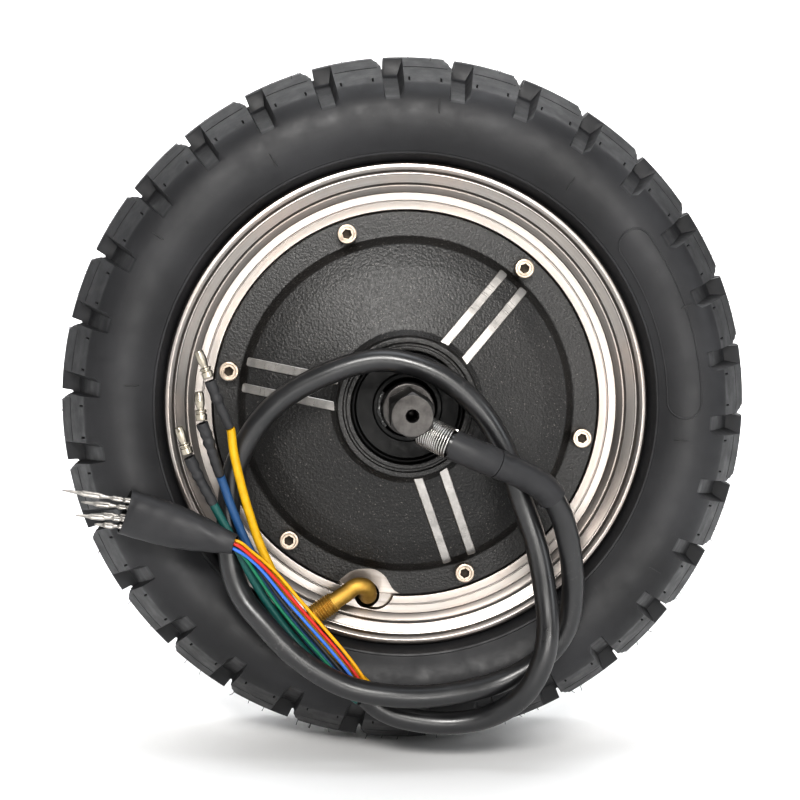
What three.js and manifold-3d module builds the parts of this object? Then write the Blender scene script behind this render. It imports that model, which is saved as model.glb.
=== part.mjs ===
// Hub motor wheel: a brushless scooter hub motor with its pneumatic tyre.
// Millimetres, +Z up. The origin is the wheel centre and the axle lies along Y.
// The cable side of the motor is the front and faces -Y. "Ahead" is the distance
// from the mid-plane towards -Y, so a point 25 ahead has y = -25. Angles are in
// degrees round the axle, from +X towards +Z.
import * as THREE from 'three';
import { mergeVertices } from 'three/addons/utils/BufferGeometryUtils.js';
import Module from 'manifold-3d';

const wasm = await Module();
wasm.setup();

// ---------------------------------------------------------- shared dimensions
const FRONT = 1;               // sign of "ahead" on each side
const REAR = -1;
const SIDES = [['front', FRONT], ['rear', REAR]];

const RIM_R = 86.8;            // rim flange
const RIM_BORE_R = 61.4;       // bore that holds the flux ring
const SCREW_PITCH_R = 64.8;    // the six cover screws of each side
const SCREW_DIRS = [0, 1, 2, 3, 4, 5].map((k) => 49.8 + 60 * k);
const SCREW_HOLE_R = 2.5;
const VALVE_DIR = 259.2;       // angle of the valve round the rim
const POCKET_X = -10.6;        // centre of the pocket beside the valve hole
const POCKET_Z = -68.0;
const STACK_HALF = 15;         // half the length of the stator stack
const BEARING_AHEAD = 25.8;    // centre of each bearing

// ------------------------------------------------------------------ materials
const wire = (color) => ({ color, roughness: 0.45, metalness: 0 });
const FINISH = {
  tyre: { color: 0x2b2b2d, roughness: 0.85, metalness: 0 },
  rubber: { color: 0x1f1f20, roughness: 0.8, metalness: 0 },
  aluminium: { color: 0xc9c6c2, roughness: 0.28, metalness: 1 },
  blackPaint: { color: 0x232325, roughness: 0.6, metalness: 0.1 },
  steel: { color: 0xb9b9b6, roughness: 0.35, metalness: 1 },
  darkSteel: { color: 0x26282b, roughness: 0.35, metalness: 0.9 },
  iron: { color: 0x6f7072, roughness: 0.5, metalness: 0.9 },
  magnet: { color: 0x8d9094, roughness: 0.35, metalness: 0.9 },
  copper: { color: 0xb5652a, roughness: 0.35, metalness: 0.9 },
  brass: { color: 0xc9962f, roughness: 0.3, metalness: 1 },
  board: { color: 0x1f6b3a, roughness: 0.5, metalness: 0 },
  pvc: { color: 0x18181a, roughness: 0.5, metalness: 0 },
  shrink: { color: 0x2c2c2e, roughness: 0.7, metalness: 0 },
  tin: { color: 0xcfccc4, roughness: 0.35, metalness: 1 },
  nickel: { color: 0xd2c9ad, roughness: 0.25, metalness: 1 },
};
const WIRE_FINISH = {
  yellow: wire(0xe0b416), blue: wire(0x2660b8), green: wire(0x1f7a55),
  red: wire(0xb02626), black: wire(0x1d1d1f),
};

// ------------------------------------------------------- meshes and manifolds
// Welds a closed geometry, drops its collapsed triangles and turns it outside out.
function toManifold(geometry) {
  const loose = geometry.index ? geometry.toNonIndexed() : geometry.clone();
  loose.deleteAttribute('normal');
  loose.deleteAttribute('uv');
  const welded = mergeVertices(loose, 1e-4);
  const positions = new Float32Array(welded.attributes.position.array);
  const corners = welded.index.array;
  const triangles = [];
  const vertex = (i) => new THREE.Vector3().fromArray(positions, 3 * i);
  let volume = 0;
  for (let i = 0; i < corners.length; i += 3) {
    const [p, q, r] = [corners[i], corners[i + 1], corners[i + 2]];
    if (p === q || q === r || p === r) continue;
    triangles.push(p, q, r);
    volume += vertex(p).dot(vertex(q).cross(vertex(r)));
  }
  if (volume < 0) {
    for (let i = 0; i < triangles.length; i += 3) {
      [triangles[i + 1], triangles[i + 2]] = [triangles[i + 2], triangles[i + 1]];
    }
  }
  return new wasm.Manifold(new wasm.Mesh({
    numProp: 3, vertProperties: positions, triVerts: new Uint32Array(triangles),
  }));
}

function fromManifold(solid) {
  const { vertProperties, triVerts } = solid.getMesh();
  const geometry = new THREE.BufferGeometry();
  const positions = new Float32Array(vertProperties);
  geometry.setAttribute('position', new THREE.BufferAttribute(positions, 3));
  geometry.setIndex(new THREE.BufferAttribute(new Uint32Array(triVerts), 1));
  geometry.computeVertexNormals();
  return geometry;
}

const group = new THREE.Group();
function add(name, solid, finish) {
  const mesh = new THREE.Mesh(fromManifold(solid), new THREE.MeshStandardMaterial(finish));
  mesh.name = name;
  group.add(mesh);
}

const union = (solids) => solids.reduce((sum, next) => sum.add(next));
const cut = (solid, tools) => solid.subtract(union(tools));

// ----------------------------------------------------------- points and curves
const rad = (deg) => (deg * Math.PI) / 180;
const vec = (x, y, z) => new THREE.Vector3(x, y, z);
const polar = (radius, deg, ahead) => (
  vec(radius * Math.cos(rad(deg)), -ahead, radius * Math.sin(rad(deg))));
const flat = (rows) => rows.map(([x, y]) => new THREE.Vector2(x, y));

function circlePoints(radius, count) {
  return flat(Array.from({ length: count }, (_, i) => {
    const angle = (2 * Math.PI * i) / count;
    return [radius * Math.cos(angle), radius * Math.sin(angle)];
  }));
}

// A smooth curve through points given as vectors or as [x, y, z] rows.
function curve(points) {
  const vectors = points.map((p) => (p.isVector3 ? p : vec(...p)));
  return new THREE.CatmullRomCurve3(vectors, false, 'centripetal');
}

// Part of a curve, between two arc lengths, as a new curve through "count" points.
function subCurve(path, start, end, count) {
  const length = path.getLength();
  return curve(Array.from({ length: count }, (_, i) => {
    const along = start + ((end - start) * i) / (count - 1);
    return path.getPointAt(THREE.MathUtils.clamp(along / length, 0, 1));
  }));
}

// Mirrors half a profile of [radius, ahead] in the mid-plane and joins both halves.
function mirrored(half) {
  const back = half.filter(([, ahead]) => ahead > 0).reverse();
  return half.concat(back.map(([radius, ahead]) => [radius, -ahead]));
}
const onSide = (profile, side) => profile.map(([radius, ahead]) => [radius, side * ahead]);

// -------------------------------------------------------------- basic solids
// A solid turned about Y; the profile of [radius, ahead] starts and ends on the axis.
function turned(profile, segments) {
  const points = flat(profile.map(([radius, ahead]) => [radius, -ahead]));
  return toManifold(new THREE.LatheGeometry(points, segments));
}

// A ring turned about Y; the profile of [radius, ahead] is closed here.
const ring = (profile, segments) => turned([...profile, profile[0]], segments);

// A solid of [radius, distance] turned about the line that runs "from" towards "to".
function turnedAlong(profile, segments, from, to) {
  const geometry = new THREE.LatheGeometry(flat(profile), segments);
  const direction = to.clone().sub(from).normalize();
  const turn = new THREE.Quaternion().setFromUnitVectors(vec(0, 1, 0), direction);
  geometry.applyQuaternion(turn);
  geometry.translate(from.x, from.y, from.z);
  return toManifold(geometry);
}

function rod(radius, from, to, segments) {
  const length = to.distanceTo(from);
  return turnedAlong([[0, 0], [radius, 0], [radius, length], [0, length]], segments, from, to);
}

// A round section swept along a curve, hollow where a bore radius is given.
function tube(path, radius, sides, steps, boreRadius = 0) {
  const section = new THREE.Shape(circlePoints(radius, sides));
  if (boreRadius) section.holes.push(new THREE.Path(circlePoints(boreRadius, sides)));
  const options = { steps, extrudePath: path, curveSegments: 1 };
  return toManifold(new THREE.ExtrudeGeometry(section, options));
}

// A plate drawn in X-Z, between two distances ahead.
function plate(shape, back, face) {
  const options = { depth: face - back, bevelEnabled: false, curveSegments: 1 };
  const geometry = new THREE.ExtrudeGeometry(shape, options);
  geometry.rotateX(Math.PI / 2);
  geometry.translate(0, -back, 0);
  return toManifold(geometry);
}

// A slab standing radially: outline of [radius, ahead], moved sideways by "offset".
function fin(outline, width, offset, deg, side) {
  const options = { depth: width, bevelEnabled: false };
  const geometry = new THREE.ExtrudeGeometry(new THREE.Shape(flat(outline)), options);
  geometry.scale(1, -side, 1);
  geometry.translate(0, 0, offset - width / 2);
  geometry.rotateY(-rad(deg));
  return toManifold(geometry);
}

function box(size, centre, deg) {
  const geometry = new THREE.BoxGeometry(...size);
  geometry.translate(...centre);
  geometry.rotateY(-rad(deg));
  return toManifold(geometry);
}

// ---------------------------------------------------------------------- tyre
const TYRE_R = 127.5;
const LUGS = 30;
const LUG_PITCH = 360 / LUGS;
const LUG_PHASE = 9.4;         // angle of the first front notch
const NOTCH_W = 6.6;
// Half section [radius, ahead]: tread and sidewall, bead, then the inside.
const TYRE_HALF = [
  [TYRE_R, 0], [125.3, 13.5], [114.4, 34.0], [109.0, 37.8], [102.0, 39.2], [90.0, 34.4],
  [RIM_R, 27.3], [77.4, 25.9], [77.0, 14.6],
  [80.6, 20.5], [92.0, 31.4], [106.0, 32.4], [115.8, 14.0],
];
// Notch between two shoulder lugs [radius, ahead]; it reaches past the tyre.
const NOTCH = [[106.9, 41], [119.0, 13.6], [131, 13.6], [131, 41]];

function tyre() {
  // The turn puts the facet corners of the tyre at the front notches.
  const turn = new THREE.Matrix4().makeRotationY(-rad(LUG_PHASE - LUG_PITCH / 2));
  const body = ring(mirrored(TYRE_HALF), 30).transform(turn.elements);
  const notches = [];
  for (let k = 0; k < LUGS; k++) {
    const deg = LUG_PHASE + LUG_PITCH * k;
    notches.push(fin(NOTCH, NOTCH_W, 0, deg, FRONT));
    notches.push(fin(NOTCH, NOTCH_W, 0, deg + LUG_PITCH / 2, REAR));
  }
  return cut(body, notches);
}
add('tyre', tyre(), FINISH.tyre);

// ----------------------------------------------------------------- inner tube
const TUBE_CENTRE_R = 96.5;
const TUBE_HALF_HEIGHT = 16.0;
const TUBE_HALF_WIDTH = 29.0;
const TUBE_WALL = 1.6;

function innerTube() {
  const oval = (inset) => Array.from({ length: 8 }, (_, i) => {
    const angle = (2 * Math.PI * i) / 8;
    return [
      TUBE_CENTRE_R + (TUBE_HALF_HEIGHT - inset) * Math.cos(angle),
      (TUBE_HALF_WIDTH - inset) * Math.sin(angle),
    ];
  });
  const opening = rod(4.7, polar(72, VALVE_DIR, 1.2), polar(88, VALVE_DIR, 1.2), 8);
  return ring(oval(0), 20).subtract(ring(oval(TUBE_WALL), 20)).subtract(opening);
}
add('inner_tube', innerTube(), FINISH.rubber);

// ------------------------------------------------------------------------ rim
const BEAD_R = 76.2;           // 6 inch bead seat
// Whole section [radius, ahead], from the well to the front flange and the bore,
// then from the bore to the rear flange and back to the well.
const RIM_SECTION = [
  [68, 8.8], [76.0, 14.2], [BEAD_R, 26.2], [78.4, 27.3], [84.6, 27.7], [RIM_R, 29.0],
  [86.3, 30.6], [85.2, 31.0], [83.6, 30.4], [83.2, 29.6], [79.4, 28.0], [76.9, 25.5],
  [73.4, 25.1], [73.1, 24.7], [70.1, 24.7], [69.95, 21.5], [RIM_BORE_R, 21.5],
  [RIM_BORE_R, -21.5], [69.95, -21.5], [70.0, -24.7], [73.4, -24.9], [79.4, -28.0],
  [85.2, -31.0], [RIM_R, -29.0], [84.6, -27.7], [BEAD_R, -26.2], [76.0, -14.2], [68, -8.8],
];
const VALVE_HOLE_PITCH_R = 71.3;
const valveHole = rod(
  3.75, polar(VALVE_HOLE_PITCH_R, VALVE_DIR, 4), polar(VALVE_HOLE_PITCH_R - 0.6, VALVE_DIR, 40), 10);

function screwHoles(start, end, side) {
  return SCREW_DIRS.map((deg) => rod(
    SCREW_HOLE_R, polar(SCREW_PITCH_R, deg, side * start), polar(SCREW_PITCH_R, deg, side * end), 6));
}

function rim() {
  const pocket = rod(7.2, vec(POCKET_X, -23.2, POCKET_Z), vec(POCKET_X, -34, POCKET_Z), 12);
  return cut(ring(RIM_SECTION, 36), [
    ...screwHoles(9.5, 22.5, FRONT), ...screwHoles(9.5, 22.5, REAR), valveHole, pocket,
  ]);
}
add('rim', rim(), FINISH.aluminium);

// ---------------------------------------------------------- valve and its pin
const VALVE_TIP = vec(-33.6, -36.2, -75.9);
const VALVE_TIP_DIR = vec(-16.9, 0, -11.8).normalize();
// Stem inside the wheel, at the valve's angle: [radius, ahead].
const STEM_STATIONS = [
  [84.0, 1.0], [77.5, 1.4], [73.2, 4.6], [71.4, 11], [71.3, 20], [71.0, 26.5], [69.4, 31.5],
];
const PIN_PROFILE = [[0, 0], [1.1, 0], [1.1, 1.0], [0.6, 1.4], [0.6, 6.1], [0, 6.1]];
const pastValveTip = (distance) => VALVE_TIP.clone().addScaledVector(VALVE_TIP_DIR, distance);

function valveStem() {
  const path = curve([
    ...STEM_STATIONS.map(([radius, ahead]) => polar(radius, VALVE_DIR, ahead)),
    [-14.2, -35.2, -65.0], [-17.4, -36.2, -64.6], pastValveTip(-15), pastValveTip(-10),
  ]);
  const threadedEnd = rod(3.6, pastValveTip(-10.6), VALVE_TIP, 10);
  const bore = rod(1.5, pastValveTip(-8), pastValveTip(2), 8);
  return tube(path, 3.05, 7, 14).add(threadedEnd).subtract(bore);
}
add('valve_stem', valveStem(), FINISH.brass);
add('valve_pin', turnedAlong(PIN_PROFILE, 8, pastValveTip(-6.6), VALVE_TIP), FINISH.brass);

// ------------------------------------------------------ flux ring and magnets
const FLUX_OUTER_R = 61.2;
const FLUX_INNER_R = 56.8;
const FLUX_HALF = 17;
const MAGNETS = 30;
const MAGNET_PITCH = 360 / MAGNETS;
const MAGNET_HALF_DEG = 5.1;
const MAGNET_OUTER_R = 56.4;
const MAGNET_INNER_R = 53.4;
const FILM_INNER_R = 55.6;
const MAGNET_HALF_LENGTH = 16;

add('flux_ring', ring([
  [FLUX_OUTER_R, FLUX_HALF], [FLUX_OUTER_R, -FLUX_HALF],
  [FLUX_INNER_R, -FLUX_HALF], [FLUX_INNER_R, FLUX_HALF],
], 36), FINISH.iron);

// Thirty magnets held on one thin bonding film.
function magnetRing() {
  const bore = [];
  for (let k = 0; k < MAGNETS; k++) {
    const steps = [
      [-MAGNET_HALF_DEG, MAGNET_INNER_R], [MAGNET_HALF_DEG, MAGNET_INNER_R],
      [MAGNET_HALF_DEG, FILM_INNER_R], [MAGNET_PITCH - MAGNET_HALF_DEG, FILM_INNER_R],
    ];
    for (const [turn, radius] of steps) {
      const angle = rad(k * MAGNET_PITCH + turn);
      bore.push([radius * Math.cos(angle), radius * Math.sin(angle)]);
    }
  }
  const shape = new THREE.Shape(circlePoints(MAGNET_OUTER_R, 30));
  shape.holes.push(new THREE.Path(flat(bore)));
  return plate(shape, -MAGNET_HALF_LENGTH, MAGNET_HALF_LENGTH);
}
add('magnet_ring', magnetRing(), FINISH.magnet);

// --------------------------------------------------------------------- covers
const COVER_R = 69.6;
const RIB_DIRS = SCREW_DIRS.filter((_, i) => i % 2 === 0);
const RIB_OFFSET = 4.7;        // half the spacing of a pair of ribs
const RIB_W = 3.0;
// [radius, ahead]: flange, outer face, seal and bearing seats, inner face.
const COVER_SECTION = [
  [COVER_R, 21.7], [COVER_R, 24.7], [60.8, 24.7], [57.8, 28.4], [40.0, 33.2], [26.6, 36.2],
  [25.1, 38.0], [24.8, 42.0], [20.1, 42.0], [20.1, 34.3], [16.8, 34.3], [16.8, 32.3],
  [21.3, 32.3], [21.3, 19.6], [24.4, 19.6], [24.8, 30.0], [54.5, 25.9], [58.0, 20.4],
  [61.0, 20.4], [61.0, 21.7],
];
const RIB = [
  [24.4, 35.8], [24.4, 37.6], [40.2, 34.1], [57.8, 29.4], [59.4, 27.4], [58.6, 26.4], [40, 31.6],
];
const PAD_SECTION = [[34.0, -30.5], [34.0, -37.6], [25.0, -37.6], [25.0, -33.0]];

const plainCover = (side) => ring(onSide(COVER_SECTION, side), 30);

// The front cover has three pairs of ribs and openings at the valve.
function frontCover() {
  const ribs = RIB_DIRS.flatMap((deg) => (
    [-RIB_OFFSET, RIB_OFFSET].map((offset) => fin(RIB, RIB_W, offset, deg, FRONT))));
  const [x, z] = [POCKET_X - 0.6, POCKET_Z + 1.4];
  const pocket = rod(8.6, vec(x, -23, z), vec(x, -40, z), 14);
  return cut(plainCover(FRONT).add(union(ribs)), [
    ...screwHoles(20, 27, FRONT), valveHole, pocket,
  ]);
}

// The rear cover has a raised pad ring, with six blind holes, for a brake disc.
function rearCover() {
  const discHoles = [0, 1, 2, 3, 4, 5].map((k) => {
    const deg = 60 * k + 20;
    return rod(2.1, polar(29.5, deg, -31.8), polar(29.5, deg, -39), 6);
  });
  return cut(plainCover(REAR).add(ring(PAD_SECTION, 36)), [
    ...screwHoles(20, 27, REAR), ...discHoles,
  ]);
}
add('front_cover', frontCover(), FINISH.blackPaint);
add('rear_cover', rearCover(), FINISH.blackPaint);

// ----------------------------------------------- socket-head cover screws, M4
const SCREW_END = 12.0;        // distance of the inner end from the mid-plane
const SHANK_L = 12.9;
const SHANK_R = 1.9;
const HEAD_R = 3.5;
const HEAD_L = 4.0;

function coverScrew(deg, side) {
  const at = (ahead) => polar(SCREW_PITCH_R, deg, side * ahead);
  const past = at(40);         // beyond the head
  const body = turnedAlong([
    [0, 0], [SHANK_R, 0], [SHANK_R, SHANK_L], [HEAD_R, SHANK_L],
    [HEAD_R, SHANK_L + HEAD_L], [0, SHANK_L + HEAD_L],
  ], 8, at(SCREW_END), past);
  return body.subtract(rod(1.75, at(SCREW_END + SHANK_L + 1.8), past, 6));
}
for (const [label, side] of SIDES) {
  SCREW_DIRS.forEach((deg, i) => {
    add(`${label}_cover_screw_${i + 1}`, coverScrew(deg, side), FINISH.nickel);
  });
}

// ----------------------------------------------------- shaft seals, bearings
const SEAL = [[9.7, 34.7], [19.7, 34.7], [19.7, 39.8], [9.7, 39.0]];
const BALLS = 9;
const BALL_R = 3.175;
const BALL_PITCH_R = 15.5;
// [radius, ahead of the bearing centre]
const OUTER_RACE = [
  [21.0, -6], [21.0, 6], [17.8, 6], [17.8, 2.7], [19.2, 0], [17.8, -2.7], [17.8, -6],
];
const INNER_RACE = [
  [10.25, -6], [10.25, 6], [13.1, 6], [13.1, 2.7], [11.8, 0], [13.1, -2.7], [13.1, -6],
];
const CAGE = [[14.9, -1.6], [14.9, 1.6], [16.5, 0]];

for (const [label, side] of SIDES) {
  add(`${label}_seal`, ring(onSide(SEAL, side), 24), FINISH.rubber);
}

function bearingRing(profile, side, segments) {
  return ring(profile.map(([radius, ahead]) => [radius, side * BEARING_AHEAD + ahead]), segments);
}

function ballCage(side) {
  let cage = bearingRing(CAGE, side, 9);
  for (let k = 0; k < BALLS; k++) {
    const deg = (360 / BALLS) * k;
    const ball = new THREE.SphereGeometry(BALL_R, 5, 4);
    ball.rotateY(-rad(deg));
    ball.translate(...polar(BALL_PITCH_R, deg, side * BEARING_AHEAD).toArray());
    cage = cage.add(toManifold(ball));
  }
  return cage;
}
for (const [label, side] of SIDES) {
  add(`${label}_bearing_outer`, bearingRing(OUTER_RACE, side, 20), FINISH.steel);
  add(`${label}_bearing_inner`, bearingRing(INNER_RACE, side, 20), FINISH.steel);
  add(`${label}_ball_cage`, ballCage(side), FINISH.steel);
}

// ---------------------------------------------------------------- cable route
// [x, y, z] along the cable, from inside the axle round its loops to its end.
const cablePath = curve([
  [0, -14, 0], [0, -30, 0], [0.1, -42, -0.2], [0.9, -52, -1.4], [2.6, -58, -3.6],
  [5.2, -61.4, -6.2], [9.1, -64.0, -8.2], [13.2, -66.0, -10.1], [20.8, -67.0, -13.3],
  [29.0, -65.0, -16.8], [39.5, -61.0, -21.6], [46.9, -57.5, -26.4], [52.7, -54.0, -34.8],
  [56.6, -50.5, -46.9], [58.7, -47.5, -63.4], [56.8, -45.5, -77.3], [49.6, -44.8, -87.6],
  [35.5, -45.2, -96.1], [15.7, -49.5, -100.1], [-3.7, -52.4, -100.2], [-21.2, -52.4, -96.7],
  [-36.9, -51.5, -87.8], [-50.3, -49.0, -75.0], [-57.2, -46.5, -67.0], [-61.2, -44.8, -57.4],
  [-62.7, -44.3, -41.6], [-59.9, -45.5, -20.3], [-48.0, -49.0, -0.7], [-29.1, -52.0, 11.8],
  [-8.5, -53.5, 17.2], [9.7, -55.0, 12.3], [22.8, -55.5, 2.2], [32.2, -53.5, -11.8],
  [38.5, -49.5, -28.5], [44.7, -49.5, -45.4], [48.2, -52.0, -62.6], [49.1, -55.0, -75.3],
  [47.5, -56.0, -86.4], [42.0, -54.0, -98.2], [30.2, -47.0, -108.6], [14.5, -44.2, -112.0],
  [-1.5, -43.9, -109.9], [-9.0, -43.9, -106.5], [-13.7, -43.9, -102.4],
]);

// Arc length of the point of the route nearest to (x, y, z).
function cableLengthAt(x, y, z) {
  const target = vec(x, y, z);
  const samples = 1500;
  let nearest = Infinity;
  let best = 0;
  for (let i = 0; i <= samples; i++) {
    const distance = cablePath.getPointAt(i / samples).distanceTo(target);
    if (distance < nearest) {
      nearest = distance;
      best = i / samples;
    }
  }
  return best * cablePath.getLength();
}
const springStart = cableLengthAt(5.4, -61.6, -6.3);
const springEnd = cableLengthAt(13.6, -66.1, -10.3);
const innerSleeveEnd = cableLengthAt(29.0, -65.0, -16.8);
const outerSleeveEnd = cableLengthAt(49.6, -56.0, -30.0);

// ----------------------------------------------------------------------- axle
const SHOULDER_AHEAD = 50;
const TIP_AHEAD = 80;
const NOSE_FLATS = 14;         // across flats of the hexagonal ends
const NOSE_OVERLAP = 2;        // how far a nose reaches into the shaft
// Half section [radius, ahead]: collar, bearing seat, middle.
const AXLE_HALF = [
  [0, SHOULDER_AHEAD], [9.2, SHOULDER_AHEAD], [9.2, 32], [10, 32], [10, 19.5], [12, 19.5], [12, 0],
];
// Turned envelope that chamfers a hexagonal end.
const NOSE_ENVELOPE = [[0, 40], [8.6, 40], [8.6, 78.4], [6.9, TIP_AHEAD], [0, TIP_AHEAD]];

function axleNose(side) {
  const radius = NOSE_FLATS / 2 / Math.cos(Math.PI / 6);
  const start = SHOULDER_AHEAD - NOSE_OVERLAP;
  const hexagon = new THREE.CylinderGeometry(radius, radius, TIP_AHEAD - start, 6);
  hexagon.translate(0, (-side * (TIP_AHEAD + start)) / 2, 0);
  return toManifold(hexagon).intersect(turned(onSide(NOSE_ENVELOPE, side), 18));
}

function axle() {
  let body = turned(mirrored(AXLE_HALF), 20);
  for (const side of [FRONT, REAR]) {
    const endHole = rod(2.6, vec(0, -side * 64.5, 0), vec(0, -side * 82, 0), 8);
    body = body.add(axleNose(side)).subtract(endHole);
  }
  const boreRoute = subCurve(cablePath, 0, springStart - 1.0, 8).points;
  const cableBore = tube(curve([vec(0, -4, 0), ...boreRoute]), 4.85, 8, 9);
  const mouth = tube(subCurve(cablePath, springStart - 6.5, springEnd + 4, 6), 6.15, 8, 5);
  const topHole = rod(3.6, vec(0, -10, 0), vec(0, -10, 14), 8);
  return cut(body, [cableBore, mouth, topHole]);
}
add('axle', axle(), FINISH.darkSteel);

// ------------------------------------------ stator hub, laminations, windings
const HUB_HALF = [
  [12.4, 17], [16.6, 17], [17.0, 4], [23.4, 4], [23.8, STACK_HALF], [27.6, STACK_HALF],
];
const SLOTS = 27;
const SLOT_PITCH = 360 / SLOTS;
const CORE_INNER_R = 28.0;
const CORE_OUTER_R = 52.8;
// One tooth: [radius, distance sideways along the arc].
const TOOTH = [
  [36.5, -2.2], [50.6, -2.2], [CORE_OUTER_R, -5.0],
  [CORE_OUTER_R, 5.0], [50.6, 2.2], [36.5, 2.2],
];
const COIL_CENTRE_R = 43.7;

add('stator_hub', ring(mirrored(HUB_HALF), 20), FINISH.aluminium);

function statorCore() {
  const outline = [];
  for (let k = 0; k < SLOTS; k++) {
    for (const [radius, sideways] of TOOTH) {
      const angle = rad(k * SLOT_PITCH) + sideways / radius;
      outline.push([radius * Math.cos(angle), radius * Math.sin(angle)]);
    }
  }
  const shape = new THREE.Shape(flat(outline));
  const bore = Array.from({ length: 20 }, (_, i) => {
    const angle = (2 * Math.PI * i) / 20;
    return [CORE_INNER_R * Math.sin(angle), CORE_INNER_R * Math.cos(angle)];
  });
  shape.holes.push(new THREE.Path(flat(bore)));
  return plate(shape, -STACK_HALF, STACK_HALF);
}
add('stator_core', statorCore(), FINISH.iron);

// Nine coils, one on every third tooth, joined by a crossover ring of the phase.
function winding(phase) {
  const radius = 40.4 + 3.0 * phase;
  let coils = ring([
    [radius, 19.4], [radius + 1.1, 19.4], [radius + 1.1, 20.4], [radius, 20.4],
  ], 18);
  for (let k = 0; k < SLOTS / 3; k++) {
    const deg = ((3 * k + phase) * 360) / SLOTS;
    const block = box([10.6, 37, 7.9], [COIL_CENTRE_R, 0, 0], deg);
    const toothSpace = box([16, 31, 5.0], [COIL_CENTRE_R, 0, 0], deg);
    const link = box([0.8, 1.6, 2.0], [radius + 0.5, -19.0, 0], deg);
    coils = coils.add(block.subtract(toothSpace)).add(link);
  }
  return coils;
}
['a', 'b', 'c'].forEach((label, phase) => {
  add(`winding_phase_${label}`, winding(phase), FINISH.copper);
});

// An arc-shaped board behind the stator.
function hallBoard() {
  const arc = (radius, start, end) => Array.from({ length: 9 }, (_, i) => {
    const angle = rad(start + ((end - start) * i) / 8);
    return [radius * Math.cos(angle), radius * Math.sin(angle)];
  });
  const outline = [...arc(36.0, 40, 140), ...arc(30.0, 140, 40)];
  return plate(new THREE.Shape(flat(outline)), -17.0, -15.35);
}
add('hall_board', hallBoard(), FINISH.board);

// ------------------------------------------- strain relief, sleeves and cable
const SPRING_TURNS = 11;
const SPRING_R = 5.25;

function strainRelief() {
  const axis = subCurve(cablePath, springStart, springEnd, 6);
  const steps = SPRING_TURNS * 7;
  const frameCount = 60;
  const { normals, binormals } = axis.computeFrenetFrames(frameCount, false);
  const helix = Array.from({ length: steps + 1 }, (_, i) => {
    const frame = Math.round((i / steps) * frameCount);
    const angle = 2 * Math.PI * SPRING_TURNS * (i / steps);
    return axis.getPointAt(i / steps)
      .addScaledVector(normals[frame], SPRING_R * Math.cos(angle))
      .addScaledVector(binormals[frame], SPRING_R * Math.sin(angle));
  });
  return tube(curve(helix), 0.36, 4, steps);
}
const innerSleevePath = subCurve(cablePath, springEnd + 1.0, innerSleeveEnd, 5);
const outerSleevePath = subCurve(cablePath, innerSleeveEnd + 0.3, outerSleeveEnd, 7);
add('strain_relief_spring', strainRelief(), FINISH.steel);
add('cable_sleeve_inner', tube(innerSleevePath, 5.3, 8, 4, 4.65), FINISH.shrink);
add('cable_sleeve_outer', tube(outerSleevePath, 5.0, 8, 6, 4.6), FINISH.shrink);
add('cable_jacket', tube(cablePath, 4.0, 7, 70), FINISH.pvc);

// ----------------------------------------------- phase leads and bullet plugs
// [radius, distance from the tip]
const BULLET = [
  [0, 0], [1.3, 0], [1.75, 0.9], [1.75, 6.4], [2.2, 6.9], [2.2, 8.2], [1.8, 8.5], [1.8, 9.9], [0, 9.9],
];
// [x, y, z] rows: bullet tip and tail, heat-shrink, and the wire back to the cable.
const PHASE_LEADS = {
  yellow: {
    bullet: [[-72.1, -57.0, 19.9], [-68.4, -56.4, 10.4]],
    shrink: [[-68.0, -56.3, 9.6], [-65.8, -55.4, 3.4], [-61.6, -53.0, -6.6]],
    wire: [
      [-61.3, -52.6, -7.2], [-60.4, -51.9, -14.4], [-58.9, -51.5, -21.6], [-56.7, -50.2, -30.5],
      [-54.7, -49.2, -37.5], [-52.5, -48.1, -44.4], [-50.0, -47.0, -51.1], [-46.1, -45.7, -59.3],
      [-42.4, -44.7, -65.5], [-38.3, -43.9, -71.5], [-33.9, -43.4, -77.3], [-29.2, -43.0, -83.0],
      [-22.9, -42.8, -89.6], [-17.5, -42.7, -94.5], [-12.1, -42.6, -99.5],
    ],
  },
  blue: {
    bullet: [[-71.8, -57.0, 5.9], [-70.9, -56.4, -4.1]],
    shrink: [[-70.8, -56.3, -4.9], [-69.3, -55.6, -9.0], [-66.2, -53.6, -19.0], [-64.9, -52.2, -23.2]],
    wire: [
      [-64.8, -51.9, -23.5], [-62.8, -50.8, -29.5], [-60.6, -50.3, -35.6], [-57.8, -49.0, -43.1],
      [-55.2, -47.8, -49.0], [-52.5, -46.7, -54.7], [-49.6, -45.7, -60.4], [-45.5, -44.7, -67.3],
      [-41.9, -44.0, -72.7], [-38.0, -43.5, -77.8], [-34.0, -43.1, -82.9], [-29.7, -42.9, -87.7],
      [-24.0, -42.7, -93.5], [-19.2, -42.6, -97.8], [-14.2, -42.6, -101.9],
    ],
  },
  green: {
    bullet: [[-78.9, -55.4, -6.3], [-75.5, -54.8, -15.9]],
    shrink: [[-75.3, -54.7, -16.8], [-71.6, -53.4, -24.7], [-67.2, -51.8, -33.2]],
    wire: [
      [-67.0, -51.7, -33.6], [-64.3, -50.9, -38.9], [-61.4, -50.3, -44.2], [-58.1, -49.0, -50.9],
      [-55.7, -47.5, -56.2], [-53.1, -46.2, -61.4], [-50.2, -45.1, -66.6], [-46.1, -44.1, -72.8],
      [-42.6, -43.4, -77.7], [-39.0, -43.1, -82.4], [-35.1, -42.8, -87.0], [-31.1, -42.7, -91.5],
      [-25.7, -42.6, -96.8], [-21.2, -42.6, -100.8], [-16.4, -42.6, -104.4],
    ],
  },
};
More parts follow.
